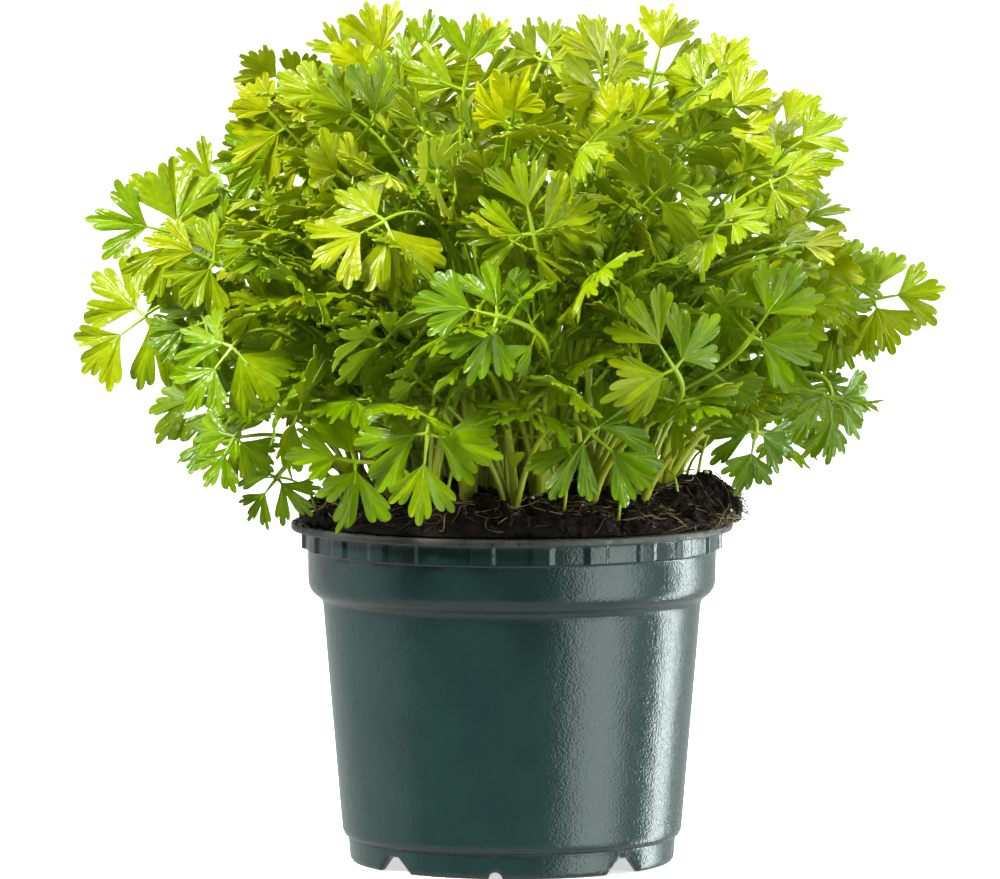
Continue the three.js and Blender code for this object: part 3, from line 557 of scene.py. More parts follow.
standing = (np.zeros((0, 4)), np.zeros(0, int), np.zeros(0, bool))
free = list(crowns)
for hub, axis, face, size in LEADING_LEAVES:
    for crown in crown_order(hub, free):
        leaf = leaf_at(crown, hub, axis, face, size)
        if is_clear(cover_of(leaf), crown, standing):
            standing = grow(crown, leaf, standing)
            free.remove(crown)
            break
for shell, depth in enumerate(SHELLS):
    for crown in crowns:
        for attempt in range(TRIES):
            seed = 1000 * (crown["number"] + 1) + 100000 * shell + attempt
            leaf = drawn_leaf(crown, depth, seed, attempt / TRIES)
            if is_clear(cover_of(leaf), crown, standing):
                standing = grow(crown, leaf, standing)
                break
plants = [crown for crown in crowns if crown["leaves"]]

# ---- Parsley: younger leaves ----
# Between the leaves of the solids stand smaller and younger ones, which leave the same crowns. Sixteen have set places
# round the outline, and the rest are drawn by the same rule on more shells of the dome, where they may cross a little.
YOUNG_LEADING = (
    ((-84, 10, 196), (-0.6, 0, 0.6), (0.1, -0.8, 0.5), 20),
    ((-92, 6, 170), (-0.9, 0, -0.1), (0, -0.8, 0.6), 20),
    ((-89, -22, 160), (-0.9, -0.1, -0.3), (-0.1, -0.85, 0.4), 19),
    ((-86, -34, 178), (-0.8, -0.2, 0.4), (0, -0.8, 0.55), 20),
    ((-78, 20, 150), (-0.8, 0.1, -0.4), (-0.2, -0.7, 0.6), 20),
    ((-66, -10, 216), (-0.7, 0, 0.7), (0, -0.8, 0.5), 20),
    ((-46, 14, 231), (-0.5, 0, 0.85), (0, -0.8, 0.5), 19),
    ((-26, -2, 232), (0.1, 0, 0.95), (0, -0.9, 0.4), 19),
    ((-4, 8, 230), (-0.2, 0, 0.95), (0.1, -0.85, 0.4), 20),
    ((26, 8, 232), (-0.3, 0, 0.9), (0, -0.85, 0.4), 19),
    ((58, 10, 226), (0.5, 0, 0.85), (-0.1, -0.8, 0.5), 20),
    ((76, 12, 212), (0.7, 0, 0.7), (-0.1, -0.75, 0.6), 20),
    ((80, 4, 186), (0.85, 0, 0.4), (-0.1, -0.8, 0.5), 20),
    ((95, -4, 160), (0.8, 0, -0.3), (0, -0.85, 0.4), 19),
    ((84, -28, 172), (0.7, -0.3, 0.5), (0.1, -0.8, 0.5), 20),
    ((80, 10, 142), (0.7, 0, -0.6), (0.1, -0.8, 0.5), 18),
)
YOUNG_SHELLS = (0.96, 0.72, 0.88, 0.55, 1.05, 0.8, 0.92, 0.64)
YOUNG_TRIES = 16
YOUNG_LOWEST = 138.0  # lower down the stalks stand bare
YOUNG_CLEARANCE = -4.0  # they may reach this far into each other's room
YOUNG_WILDNESS, YOUNG_SIZE = 0.5, (0.7, 0.35)
for hub, axis, face, size in YOUNG_LEADING:
    crown = crown_order(hub, plants)[0]
    standing = grow(crown, leaf_at(crown, hub, axis, face, size), standing)
    crown["extras"].append(crown["leaves"].pop())
for shell, depth in enumerate(YOUNG_SHELLS):
    for crown in plants:
        for attempt in range(YOUNG_TRIES):
            seed = 1000 * (crown["number"] + 1) + 100000 * (shell + 5) + attempt
            leaf = drawn_leaf(crown, depth, seed, YOUNG_WILDNESS + attempt / YOUNG_TRIES, 0.9 * draws(seed + 7)())
            leaf["size"] *= YOUNG_SIZE[0] + YOUNG_SIZE[1] * draws(seed)()
            if leaf["hub"][2] > YOUNG_LOWEST and is_clear(cover_of(leaf), crown, standing, YOUNG_CLEARANCE):
                standing = grow(crown, leaf, standing)
                crown["extras"].append(crown["leaves"].pop())
                break

# ---- Parsley: leaf blades ----
# A leaflet of soft leaf tissue is a wedge-based fan, cut into three lobes by V-shaped clefts, each lobe with three
# blunt teeth. It is wavy at its margin, folded a little along its veins, and arched. Each blade is a closed shell a
# third of a millimetre thick.
BLADE_THICK = 0.32
LOBE_MIDDLES = (-41.0, 0.0, 41.0)  # degrees from the blade's middle vein
LOBE_HALVES = (22.0, 20.0, 22.0)
CLEFT_DEEP, CLEFT_SHALLOW = 0.26, 0.64  # how near the base a cleft ends, as a share of the blade
CLEFT_OPENS, CLEFT_SHUT = 0.36, 0.05  # how far a lobe draws in from its clefts, and how far it spreads at a shut one
OPENNESS_POWER = 0.75  # below one, so that open clefts are commoner than shut ones
BASE_SPREAD, EDGE_SPREAD = 0.8, 0.2  # the share of its angle that a column has at the base, and the rest
LOBE_VARIES, SPREAD_VARIES, TOOTH_LEAST, TOOTH_VARIES = 0.2, 0.3, 0.6, 0.5
VEIN_FOLD, SLOW_WAVE, MARGIN_WAVE, MARGIN_WAVES, LOBE_CURL = 0.045, 0.06, 0.05, 4.6, 0.34
ANY_PHASE = 6.3  # about a whole turn, times a random number


def blade_grid(across, middle_reach, side_reach, rows):
    """The columns of a blade: a lobe's, a cleft, a lobe's, a cleft, a lobe's. Each has its lobe, its place across the
    lobe and its reach, the length of the blade there. A side lobe's reach runs away from the middle."""
    count = len(across)
    lobe = np.concatenate([np.full(count, 0), [0], np.full(count, 1), [2], np.full(count, 2)])
    cleft = np.zeros(len(lobe), bool)
    cleft[[count, 2 * count + 1]] = True
    return {"lobe": lobe, "cleft": cleft, "across": np.concatenate([across, [1], across, [0], across]),
            "reach": np.concatenate([side_reach[::-1], [0], middle_reach, [0], side_reach]), "rows": np.array(rows)}


# The blades of the solids' leaves are drawn finely. The hundreds of younger ones have two or three columns for a tooth.
FINE_BLADE = blade_grid(
    [0, 0.05, 0.13, 0.22, 0.29, 0.335, 0.37, 0.43, 0.5, 0.57, 0.63, 0.665, 0.71, 0.78, 0.87, 0.95, 1],
    [0.66, 0.75, 0.83, 0.86, 0.83, 0.745, 0.91, 0.98, 1.0, 0.98, 0.91, 0.745, 0.83, 0.86, 0.83, 0.75, 0.66],
    [0.66, 0.75, 0.82, 0.84, 0.81, 0.73, 0.88, 0.94, 0.96, 0.94, 0.87, 0.71, 0.76, 0.78, 0.75, 0.66, 0.50],
    [0.03, 0.25, 0.45, 0.65, 0.84, 1.0])
PLAIN_BLADE = blade_grid([0, 0.12, 0.25, 0.33, 0.42, 0.58, 0.67, 0.75, 0.88, 1],
                         [0.68, 0.83, 0.85, 0.74, 0.98, 0.98, 0.74, 0.85, 0.83, 0.68],
                         [0.66, 0.81, 0.83, 0.72, 0.94, 0.93, 0.71, 0.78, 0.74, 0.52], [0.03, 0.5, 1.0])


def shell_points(base, a, s, n, length, along, side, lift, thick):
    """Both faces of many thin shells: length times (along a + side s + lift n) from the base, and as much lower along n
    as the shell is thick."""
    scale = length[:, None, None, None]
    flat = base[:, None, None, :] + scale * (along[..., None] * a[:, None, None] + side[..., None] * s[:, None, None]
                                             + lift[..., None] * n[:, None, None])
    return np.stack([flat, flat - thick * n[:, None, None, :]], axis=1).reshape(len(length), -1, 3)


def blade_points(grid, base, a, s, n, length, droop, hang, random):
    """Points of many blades at once, as blades by two faces by columns by rows.
    A column's angle runs across its lobe. The more open a blade's clefts, the nearer the base they end and the more
    the columns beside them draw in. All of them draw in towards the base, by the root of the share. A column's reach is
    the lobe's edge, with the teeth made deeper or shallower, and a point lies at its row's share of the reach. It is
    lifted by a fold along the veins, by four to five waves round the margin and by a slow wave, and lowered by its
    lobe's own curl, by droop times along squared, and by hang times side."""
    lobe, off_vein = grid["lobe"], 2 * grid["across"] - 1
    middle, half = np.array(LOBE_MIDDLES)[lobe], np.array(LOBE_HALVES)[lobe]
    lobe_gain = 1 + LOBE_VARIES * (random[:, :3] - 0.5)
    reach = lobe_gain[:, lobe] * (1 - (1 - grid["reach"]) * (TOOTH_LEAST + TOOTH_VARIES * random[:, 3:4]))
    openness = random[:, 4:5] ** OPENNESS_POWER
    reach = np.where(grid["cleft"], CLEFT_SHALLOW + (CLEFT_DEEP - CLEFT_SHALLOW) * openness, reach)
    narrow = np.where(grid["cleft"], 0, off_vein * half) * (CLEFT_OPENS * openness - CLEFT_SHUT)
    angle = np.radians(middle + off_vein * half - narrow) * (1 + SPREAD_VARIES * (random[:, 5:6] - 0.5))
    share = reach[:, :, None] * grid["rows"]
    bent = angle[:, :, None] * (BASE_SPREAD + EDGE_SPREAD * np.sqrt(share))
    along, side = share * np.cos(bent), share * np.sin(bent)
    phase, cross_phase, margin_phase = (ANY_PHASE * random[:, k, None, None] for k in (6, 7, 11))
    slow = np.sin(7 * side + phase) * np.cos(5 * along + cross_phase)
    round_margin = np.linspace(0, 2 * np.pi * MARGIN_WAVES, len(lobe))[None, :, None] + margin_phase
    fold = np.where(grid["cleft"], 1, np.abs(off_vein))[:, None]
    curl = LOBE_CURL * (random[:, 8:11][:, lobe] - 0.4)[:, :, None]
    lift = VEIN_FOLD * fold * share + SLOW_WAVE * slow * share + MARGIN_WAVE * np.sin(round_margin) * share ** 2.5
    lift = lift - curl * share ** 2.2 - droop[:, None, None] * along ** 2 - hang[:, None, None] * np.abs(side)
    return shell_points(base, a, s, n, length, along, side, lift, BLADE_THICK)


def shell_faces(columns, rows):
    """Quads of a thin closed shell: an upper and a lower grid, joined along all four edges."""
    top = np.arange(columns * rows).reshape(columns, rows)
    low = top + columns * rows
    return np.concatenate([
        quads(top[:-1, :-1], top[:-1, 1:], top[1:, 1:], top[1:, :-1]),
        quads(low[:-1, :-1], low[1:, :-1], low[1:, 1:], low[:-1, 1:]),
        quads(top[:-1, -1], low[:-1, -1], low[1:, -1], top[1:, -1]),
        quads(top[:-1, 0], top[1:, 0], low[1:, 0], low[:-1, 0]),
        quads(top[0, :-1], low[0, :-1], low[0, 1:], top[0, 1:]),
        quads(top[-1, :-1], top[-1, 1:], low[-1, 1:], low[-1, :-1]),
    ])


# ---- Parsley: stalks ----
# Juicy leaf stalks grown straight from the crown, with a groove along them: thick and pale where they clasp it, thin
# and green under the leaf. A short neck carries each leaflet, and some stalks have a sprig, a pair of small leaflets,
# lower down.
STALK_RINGS, STALK_SIDES = 22, 10
STALK_TAPER, STALK_FLARE, FLARE_REACH, PALE_REACH = 0.45, 0.45, 6.0, 60.0
STALK_GAIN, YOUNG_STALK = (0.85, 0.4), 0.82  # the thinnest stalk's share and how much more, a younger leaf's share
ROOT_DEPTH = np.array([[0, 0, 6.0], [0, 0, 0], [0, 0, 0], [0, 0, 0]])  # a stalk starts this far down in the peat
NECK_RINGS, NECK_SIDES = 5, 7
NECK_FOOT, NECK_TIP = 0.72, 0.22  # radii
SPRIG_STALK, SPRIG_SHARE = 45.0, 0.75  # the shortest stalk with a sprig, and the share of longer ones that have one
SPRIG_DROP, SPRIG_LEAN, SPRIG_SIZE = (13, 9), (58, 14), (0.62, 0.18)  # the least and how much more: mm, degrees, share
SPRIG_NECK, SPRIG_SINK = 0.3, 0.15
GROOVE_DEPTH, GROOVE_WIDTH = 0.22, 0.35
CANOPY_LOW, CANOPY_TALL, CANOPY_WIDE = 120, 130, 90
# A leaf's youth at the canopy's foot, how much more at its top, outside and by chance, the most, and what blades vary.
# Higher and further out a leaf's tone is paler and brighter. This is partly the yellower green of young leaves, and
# partly painted light from above and behind, with painted shade on the lower leaves.
YOUTH_FOOT, YOUTH_AND_LIGHT_TOP, YOUTH_AND_LIGHT_OUTSIDE, YOUTH_CHANCE, YOUTH_MOST, YOUTH_VARIES = 0.04, 0.56, 0.15, 0.34, 0.85, 0.2
BLADE_DROOP, BLADE_HANG = (0.04, 0.4), (0.1, 0.45)


def tube_points(bends, radius, reference, rings, sides):
    """Tubes along cubic curves: at each ring the reference is turned square to the curve, and the section is a circle
    with a groove: radius times 1 - depth exp(-(2 sin(w/2))^2 / width) at the angle w from the groove."""
    t = np.linspace(0, 1, rings)
    middle = on_curve(bends, t)
    tangent = unit(np.gradient(middle, axis=1))
    side = unit(reference[:, None] - tangent * (reference[:, None] * tangent).sum(-1, keepdims=True))
    face = np.cross(tangent, side)
    w = np.arange(sides) * 2 * np.pi / sides
    groove = 1 - GROOVE_DEPTH * np.exp(-((2 * np.sin((w - np.pi / 2) / 2)) ** 2) / GROOVE_WIDTH)
    spoke = np.cos(w)[:, None] * side[:, :, None] + np.sin(w)[:, None] * face[:, :, None]
    return (middle[:, :, None] + (radius[:, :, None] * groove)[..., None] * spoke).reshape(len(bends), -1, 3)


def tube_faces(rings, sides):
    """Quads of a tube of rings, and its two ends as many-sided faces."""
    index = np.arange(rings * sides).reshape(rings, sides)
    after = np.roll(index, -1, axis=1)
    return quads(index[:-1], after[:-1], after[1:], index[1:]), np.stack([index[0, ::-1], index[-1]])


def many(faces, count, stride, start):
    """The same faces for a number of copies whose points follow each other."""
    offsets = start + stride * np.arange(count)
    return (faces[None] + offsets[:, None, None]).reshape(-1, faces.shape[1])


# Fresh leaf tissue: waxy above, so that it takes a soft sheen, matt and paler below, and thin enough to glow when lit
# from behind. The higher, outer and younger leaves are painted yellower and brighter, partly for young tissue and
# partly as painted light from above and behind, and the lower ones darker, as painted shade. Fine pale veins run from
# the wedge base to each tooth.
MOTTLE_SIZE, PUCKER_SIZE, PUCKER_DEPTH = 7.692, 2.0833, 0.6
leaf_green, tree = material_tree("parsley_blade")
tone = add_node(tree, "Attribute", attribute_name="tone").outputs["Fac"]
under = add_node(tree, "Attribute", attribute_name="under").outputs["Fac"]
coordinates = add_node(tree, "TexCoord")
place = coordinates.outputs["Object"]
mottle = add_node(tree, "TexNoise", {"Vector": place, "Scale": 1 / (MOTTLE_SIZE * MM), "Detail": 3.0})
shifted = add_node(tree, "Math", {0: mottle, 1: 0.35, 2: tone}, operation="MULTIPLY_ADD")
# The tone ramp runs from dark to pale yellow-green. This gives painted shade on low leaves and painted light on high
# and outer ones, besides their youth.
greens = add_node(tree, "ValToRGB", {"Fac": shifted},
                  stops=[(0.1, linear("#2c5a00")), (0.95, linear("#a8ac00")), (0.5, linear("#668a00"))])
# The vein of a lobe runs up its middle, 0 across, and one branch on each side leaves it for the side tooth at 0.33.
on_blade = add_node(tree, "SeparateXYZ", {"Vector": coordinates.outputs["UV"]})
across = on_blade.outputs["X"]
for operation, value in (("MULTIPLY", 3.0), ("FRACT", 0.0), ("SUBTRACT", 0.5), ("ABSOLUTE", 0.0)):
    across = add_node(tree, "Math", {0: across, 1: value}, operation=operation)
branch = add_node(tree, "MapRange", {"Value": on_blade.outputs["Y"], "From Min": 0.3, "From Max": 1.0, "To Max": 0.33})
off_branch = add_node(tree, "Math", {0: across, 1: branch}, operation="SUBTRACT")
off_branch = add_node(tree, "Math", {0: off_branch}, operation="ABSOLUTE")
off_vein = add_node(tree, "Math", {0: across, 1: off_branch}, operation="MINIMUM")
width = add_node(tree, "MapRange", {"Value": on_blade.outputs["Y"], "To Min": 0.1, "To Max": 1.0})
off_vein = add_node(tree, "Math", {0: off_vein, 1: width}, operation="MULTIPLY")
vein = add_node(tree, "MapRange", {"Value": off_vein, "From Min": 0.008, "From Max": 0.06, "To Min": 1.0,
                                   "To Max": 0.0})
vein_tint = add_node(tree, "Math", {0: vein, 1: 0.22}, operation="MULTIPLY")
veined = add_node(tree, "Mix", {0: vein_tint, 6: greens, 7: linear("#aebc14")}, data_type="RGBA").outputs[2]
pale_share = add_node(tree, "Math", {0: under, 1: 0.45}, operation="MULTIPLY")
paler = add_node(tree, "Mix", {0: pale_share, 6: veined, 7: linear("#8aa01c")}, data_type="RGBA").outputs[2]
# Between the veins the blade puckers in cells of about two millimetres.
cells = add_node(tree, "TexVoronoi", {"Vector": place, "Scale": 1 / (PUCKER_SIZE * MM)})
puckers = add_node(tree, "Math", {0: cells, 1: -0.8, 2: mottle}, operation="MULTIPLY_ADD")
relief = add_node(tree, "Math", {0: vein, 1: -0.7, 2: puckers}, operation="MULTIPLY_ADD")
bump = add_node(tree, "Bump", {"Height": relief, "Strength": 0.5, "Distance": PUCKER_DEPTH * MM})
sheen = add_node(tree, "MapRange", {"Value": under, "To Min": 0.25, "To Max": 0.6})
skin = add_node(tree, "BsdfPrincipled", {"Base Color": paler, "Roughness": sheen, "Normal": bump, "IOR": 1.45,
                                         "Specular IOR Level": 0.3})
glow_tint = add_node(tree, "Mix", {0: 0.68, 6: paler, 7: linear("#ced600")}, data_type="RGBA").outputs[2]
glow = add_node(tree, "BsdfTranslucent", {"Color": glow_tint})
blend = add_node(tree, "MixShader", {0: 0.36, 1: skin, 2: glow})
add_node(tree, "OutputMaterial", {"Surface": blend})

# Stalk tissue: smooth, juicy and wet-looking, pale yellow where it clasps the crown and greener above. Its long strands
# are half a millimetre wide: fourteen go round a stalk, and each runs for about a third of it.
STRANDS_ROUND, STRANDS_ALONG, STRAND_DEPTH = 14.0, 3.0, 0.3
stalk_green, tree = material_tree("parsley_stalk")
tone = add_node(tree, "Attribute", attribute_name="tone").outputs["Fac"]
greens = add_node(tree, "ValToRGB", {"Fac": tone},
                  stops=[(0.0, linear("#a6a838")), (0.9, linear("#84a00c")), (0.35, linear("#a2b022"))])
along_stalk = add_node(tree, "TexCoord").outputs["UV"]
stretched = add_node(tree, "Mapping", {"Vector": along_stalk, "Scale": (STRANDS_ROUND, STRANDS_ALONG, 1.0)})
strands = add_node(tree, "TexNoise", {"Vector": stretched, "Scale": 1.0, "Detail": 2.0})
bump = add_node(tree, "Bump", {"Height": strands, "Strength": 0.4, "Distance": STRAND_DEPTH * MM})
skin = add_node(tree, "BsdfPrincipled", {"Base Color": greens, "Roughness": 0.34, "Normal": bump, "IOR": 1.4,
                                         "Specular IOR Level": 0.45})
add_node(tree, "OutputMaterial", {"Surface": skin})


def varied(rng, least, more, power=1, count=None):
    """One draw or an array of them from the least up to so much more, the larger ones rarer for a power over one."""
    return least + more * rng.random(count) ** power


def dress(plant, index):
    """All the leaves of a plant in one piece: tubes for stalks and necks, shells for blades. A leaf's youth and painted
    light, from 0 to 1, grows with its height and with its distance from the axis, and is the tone of its blades. It is
    paler and brighter up and out, partly for young tissue and partly as painted light, with painted shade lower down."""
    blades, tubes, necks = ([], []), [], []
    rng = np.random.default_rng(500 + plant["number"])
    grown = [(leaf, True) for leaf in plant["leaves"]] + [(leaf, False) for leaf in plant["extras"]]
    for number, (leaf, in_solid) in enumerate(grown):
        draw = draws(7000 + 10 * index + number)
        height = (leaf["hub"][2] - CANOPY_LOW) / CANOPY_TALL
        outward = math.hypot(leaf["hub"][0], leaf["hub"][1]) / CANOPY_WIDE
        # Youth and painted light: higher and further out is paler and brighter. This is partly young tissue and partly
        # painted light from above and behind, and lower down it is painted shade.
        youth_and_light = YOUTH_FOOT + YOUTH_AND_LIGHT_TOP * height + YOUTH_AND_LIGHT_OUTSIDE * outward + YOUTH_CHANCE * (rng.random() - 0.5)
        youth_and_light = min(max(youth_and_light, 0), YOUTH_MOST)
        length = np.linalg.norm(leaf["bends"][3] - leaf["bends"][0])
        chord = unit(leaf["bends"][3] - leaf["bends"][0])
        reference = np.cross(chord, leaf["a"])
        if np.linalg.norm(reference) < 0.05:
            reference = leaf["s"]
        gain = (1 if in_solid else YOUNG_STALK) * varied(rng, *STALK_GAIN)
        tubes.append((leaf["bends"] - ROOT_DEPTH, unit(reference), gain, length))
        leaflets = [(leaf["hub"], *leaflet) for leaflet in leaflet_frames(leaf)]
        if length > SPRIG_STALK and leaf["hub"][2] > YOUNG_LOWEST and rng.random() < SPRIG_SHARE:
            share = 1 - varied(rng, *SPRIG_DROP) / length
            place = on_curve(leaf["bends"], np.array([share]))[0]
            down = unit(on_curve(leaf["bends"], np.array([share + 0.02]))[0] - place)
            face = unit(leaf["n"] - down * (leaf["n"] @ down))
            for hand in (1, -1):
                lean = math.radians(varied(rng, *SPRIG_LEAN))
                a = unit(math.cos(lean) * down + hand * math.sin(lean) * np.cross(face, down) - SPRIG_SINK * face)
                n = unit(face - a * (face @ a))
                size = leaf["size"] * varied(rng, *SPRIG_SIZE)
                leaflets.append((place, a, np.cross(n, a), n, size, SPRIG_NECK * size))
        for place, a, s, n, size, neck in leaflets:
            droop = BLADE_DROOP[0] + BLADE_DROOP[1] * draw() ** 2
            hang = BLADE_HANG[1] * draw() - BLADE_HANG[0]
            base = place + neck * a
            tone = youth_and_light + YOUTH_VARIES * (rng.random() - 0.5)
            blades[not in_solid].append((base, a, s, n, size - neck, droop, hang, tone, rng.random(12)))
            # The neck starts under the end of the stalk and ends a quarter of the way along the blade's underside.
            bends = np.array([place - 0.6 * n, place + 0.35 * neck * a - 0.5 * n, place + 0.7 * neck * a - 0.2 * n,
                              base + 0.25 * (size - neck) * a - 0.25 * n])
            necks.append((bends, s))
    points, uv, tones, unders, face_sets, start = [], [], [], [], [], 0

    def add(group, piece_uv, tone, under, faces):
        """Adds a group of like shapes: points, one shape's coordinates, every point's tone, which side, faces."""
        nonlocal start
        points.append(group.reshape(-1, 3))
        uv.append(np.tile(piece_uv, (len(group), 1)))
        tones.append(tone.ravel())
        unders.append(np.tile(under, len(group)))
        face_sets.extend((many(part, len(group), group.shape[1], start), slot) for part, slot in faces)
        start += group.shape[0] * group.shape[1]

    for grid, group in zip((FINE_BLADE, PLAIN_BLADE), blades):
        if group:
            *shape, tone, random = (np.array(v) for v in zip(*group))
            blade = blade_points(grid, *shape, random)
            columns, rows = len(grid["lobe"]), len(grid["rows"])
            column_u = (grid["lobe"] + np.clip(grid["across"], 0.001, 0.999)) / 3
            blade_uv = np.stack(np.broadcast_arrays(column_u[:, None], grid["rows"]), axis=-1).reshape(-1, 2)
            add(blade, np.tile(blade_uv, (2, 1)), np.repeat(tone, blade.shape[1]),
                np.repeat([0.0, 1.0], columns * rows), [(shell_faces(columns, rows), 0)])

    t = np.linspace(0, 1, STALK_RINGS)
    bends, reference, gain, reach = (np.array(v) for v in zip(*tubes))
    flare = STALK_FLARE * np.exp(-((t[None] * reach[:, None]) / FLARE_REACH))
    stalk_radius = gain[:, None] * (STALK_LOW_RADIUS - STALK_TAPER * t[None]) + flare
    stalk = tube_points(bends, stalk_radius, reference, STALK_RINGS, STALK_SIDES)
    neck_bends, neck_side = (np.array(v) for v in zip(*necks))
    neck_radius = np.repeat(np.linspace(NECK_FOOT, NECK_TIP, NECK_RINGS)[None], len(necks), axis=0)
    neck = tube_points(neck_bends, neck_radius, neck_side, NECK_RINGS, NECK_SIDES)

    tube_tone = np.repeat(np.clip(t[None] * reach[:, None] / PALE_REACH, 0, 1), STALK_SIDES, axis=1)
    for group, tone, rings, sides in ((stalk, tube_tone, STALK_RINGS, STALK_SIDES),
                                      (neck, np.full(neck.shape[:2], 0.95), NECK_RINGS, NECK_SIDES)):
        ring_uv = np.stack(np.meshgrid(np.arange(sides) / sides, np.linspace(0, 1, rings)), axis=-1).reshape(-1, 2)
        add(group, ring_uv, tone, np.zeros(rings * sides), [(faces, 1) for faces in tube_faces(rings, sides)])
    attributes = {"tone": np.concatenate(tones), "under": np.concatenate(unders)}
    return make_piece(f"parsley_plant_{index + 1:02d}", np.concatenate(points), face_sets, [leaf_green, stalk_green],
                      np.concatenate(uv), attributes, sharp_deg=55)


for index, plant in enumerate(plants):
    piece = dress(plant, index)
    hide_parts(f"parsley_{index + 1:02d}")
    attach(piece, "root")

# ---- Peat: crumbs and grit ----
# Loose crumbs of peat, one to three millimetres across, lie all over the plug, where they fell as the pot was filled.
# Smaller ones are spilt on the flange, and a few white grains of perlite, mixed in to let air through, lie among them.
CRUMB_COUNT, SPILT_COUNT, GRIT_COUNT = 2400, 220, 26
CRUMB_RADIUS, SPILT_RADIUS, GRIT_RADIUS = (0.45, 1.15, 2.5), (0.12, 0.4, 2), (0.4, 0.4)  # least, more, power
SPILT_RING, SPILT_LIFT, GRIT_LIFT = (62.4, 64.7), 0.2, 0.4
LUMP_ROUGH, LUMP_STRETCH, LUMP_FLAT = (0.7, 0.5), (0.75, 0.6), 0.8
GOLDEN = (1 + math.sqrt(5)) / 2
# The twelve corners of an icosahedron, and its twenty faces.
LUMP = unit(np.array([[-1, GOLDEN, 0], [1, GOLDEN, 0], [-1, -GOLDEN, 0], [1, -GOLDEN, 0], [0, -1, GOLDEN],
                      [0, 1, GOLDEN], [0, -1, -GOLDEN], [0, 1, -GOLDEN], [GOLDEN, 0, -1], [GOLDEN, 0, 1],
                      [-GOLDEN, 0, -1], [-GOLDEN, 0, 1]]))
LUMP_FACES = np.array([[0, 11, 5], [0, 5, 1], [0, 1, 7], [0, 7, 10], [0, 10, 11], [1, 5, 9], [5, 11, 4], [11, 10, 2],
                       [10, 7, 6], [7, 1, 8], [3, 9, 4], [3, 4, 2], [3, 2, 6], [3, 6, 8], [3, 8, 9], [4, 9, 5],
                       [2, 4, 11], [6, 2, 10], [8, 6, 7], [9, 8, 1]])


def on_peat(rng, count, low=0.0, high=0.985):
    """Random places on the peat, evenly spread over its disc between two shares of the edge's radius."""
    angle = rng.uniform(-np.pi, np.pi, count)
    radius = peat_edge(angle) * np.sqrt(rng.uniform(low ** 2, high ** 2, count))
    x, y = radius * np.cos(angle), radius * np.sin(angle)
    return np.stack([x, y, peat_height(x, y, peat_edge(angle))], axis=-1)


def lumps(rng, places, sizes):
    """Lumps at places: an icosahedron with each corner drawn in or out, stretched by up to a third along each axis."""
    count = len(places)
    corners = LUMP * varied(rng, *LUMP_ROUGH, count=(count, 12, 1)) * varied(rng, *LUMP_STRETCH, count=(count, 1, 3))
    turn = rng.uniform(0, 2 * np.pi, count)[:, None]
    x = corners[..., 0] * np.cos(turn) - corners[..., 1] * np.sin(turn)
    y = corners[..., 0] * np.sin(turn) + corners[..., 1] * np.cos(turn)
    return places[:, None] + sizes[:, None, None] * np.stack([x, y, LUMP_FLAT * corners[..., 2]], axis=-1)


rng = np.random.default_rng(31)
turn, reach = rng.uniform(-np.pi, np.pi, SPILT_COUNT), rng.uniform(*SPILT_RING, SPILT_COUNT)
spilt = round_axis(reach, turn, POT_HEIGHT + SPILT_LIFT)
crumb_sizes = np.concatenate([varied(rng, *CRUMB_RADIUS, CRUMB_COUNT), varied(rng, *SPILT_RADIUS, SPILT_COUNT)])
crumb_points = lumps(rng, np.concatenate([on_peat(rng, CRUMB_COUNT), spilt]), crumb_sizes)
crumbs = make_piece("peat_crumbs", crumb_points.reshape(-1, 3), [(many(LUMP_FACES, len(crumb_points), 12, 0), 0)],
                    [peat_stuff])
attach(crumbs, "root")

# Perlite: volcanic glass blown to a foam by heat, dull and chalky white, with greyer pores. They are drawn a third of a
# millimetre wide, wider than real ones, because those would not show.
PORE_SIZE, PORE_DEPTH = 0.3333, 0.1
perlite, tree = material_tree("perlite")
place = add_node(tree, "TexCoord").outputs["Object"]
pores = add_node(tree, "TexVoronoi", {"Vector": place, "Scale": 1 / (PORE_SIZE * MM)})
whites = add_node(tree, "ValToRGB", {"Fac": pores}, stops=[(0.1, linear("#b9b2a2")), (0.6, linear("#e9e6dc"))])
bump = add_node(tree, "Bump", {"Height": pores, "Strength": 0.6, "Distance": PORE_DEPTH * MM})
surface = add_node(tree, "BsdfPrincipled", {"Base Color": whites, "Roughness": 0.9, "Normal": bump})
add_node(tree, "OutputMaterial", {"Surface": surface})

grit_places = on_peat(rng, GRIT_COUNT) + (0, 0, GRIT_LIFT)
grit_points = lumps(rng, grit_places, varied(rng, *GRIT_RADIUS, count=GRIT_COUNT))
grit = make_piece("perlite_grains", grit_points.reshape(-1, 3), [(many(LUMP_FACES, GRIT_COUNT, 12, 0), 0)], [perlite])
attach(grit, "root")

# ---- Peat: fibres and roots ----
# Rusty fibres of the moss that the peat was made of lie across it, and fine pale roots wander between them. They lie
# loose, half sunk among the crumbs, and some hang over the flange at the clod.
FIBRE_COUNT, ROOT_COUNT, HANGING_COUNT = 900, 130, 130
FIBRE_LENGTH, ROOT_LENGTH, FIBRE_RISE, ROOT_RISE = (2.5, 6), (6, 9), 2.0, 1.6
FIBRE_RADIUS, ROOT_RADIUS, HANGING_RADIUS = (0.06, 0.11), (0.08, 0.08), (0.07, 0.1)
FIBRE_TAPER = np.array([0.6, 1, 1, 0.95, 0.8, 0.4])
FIBRE_WANDER, FIBRE_LIFT = 0.35, 0.35
HANGING_SWEEP, HANGING_START, HANGING_REACH, HANGING_DEPTH, HANGING_DROP = 0.3, (2.5, 3), (3, 5.5), 3.5, 1.6
HANGING_RUN, HANGING_RISE = np.array([0, 0.45, 0.85, 1.0]), np.array([0, 1.0, 0.4, -2.5])
FIBRE_RINGS, FIBRE_SIDES = 6, 4


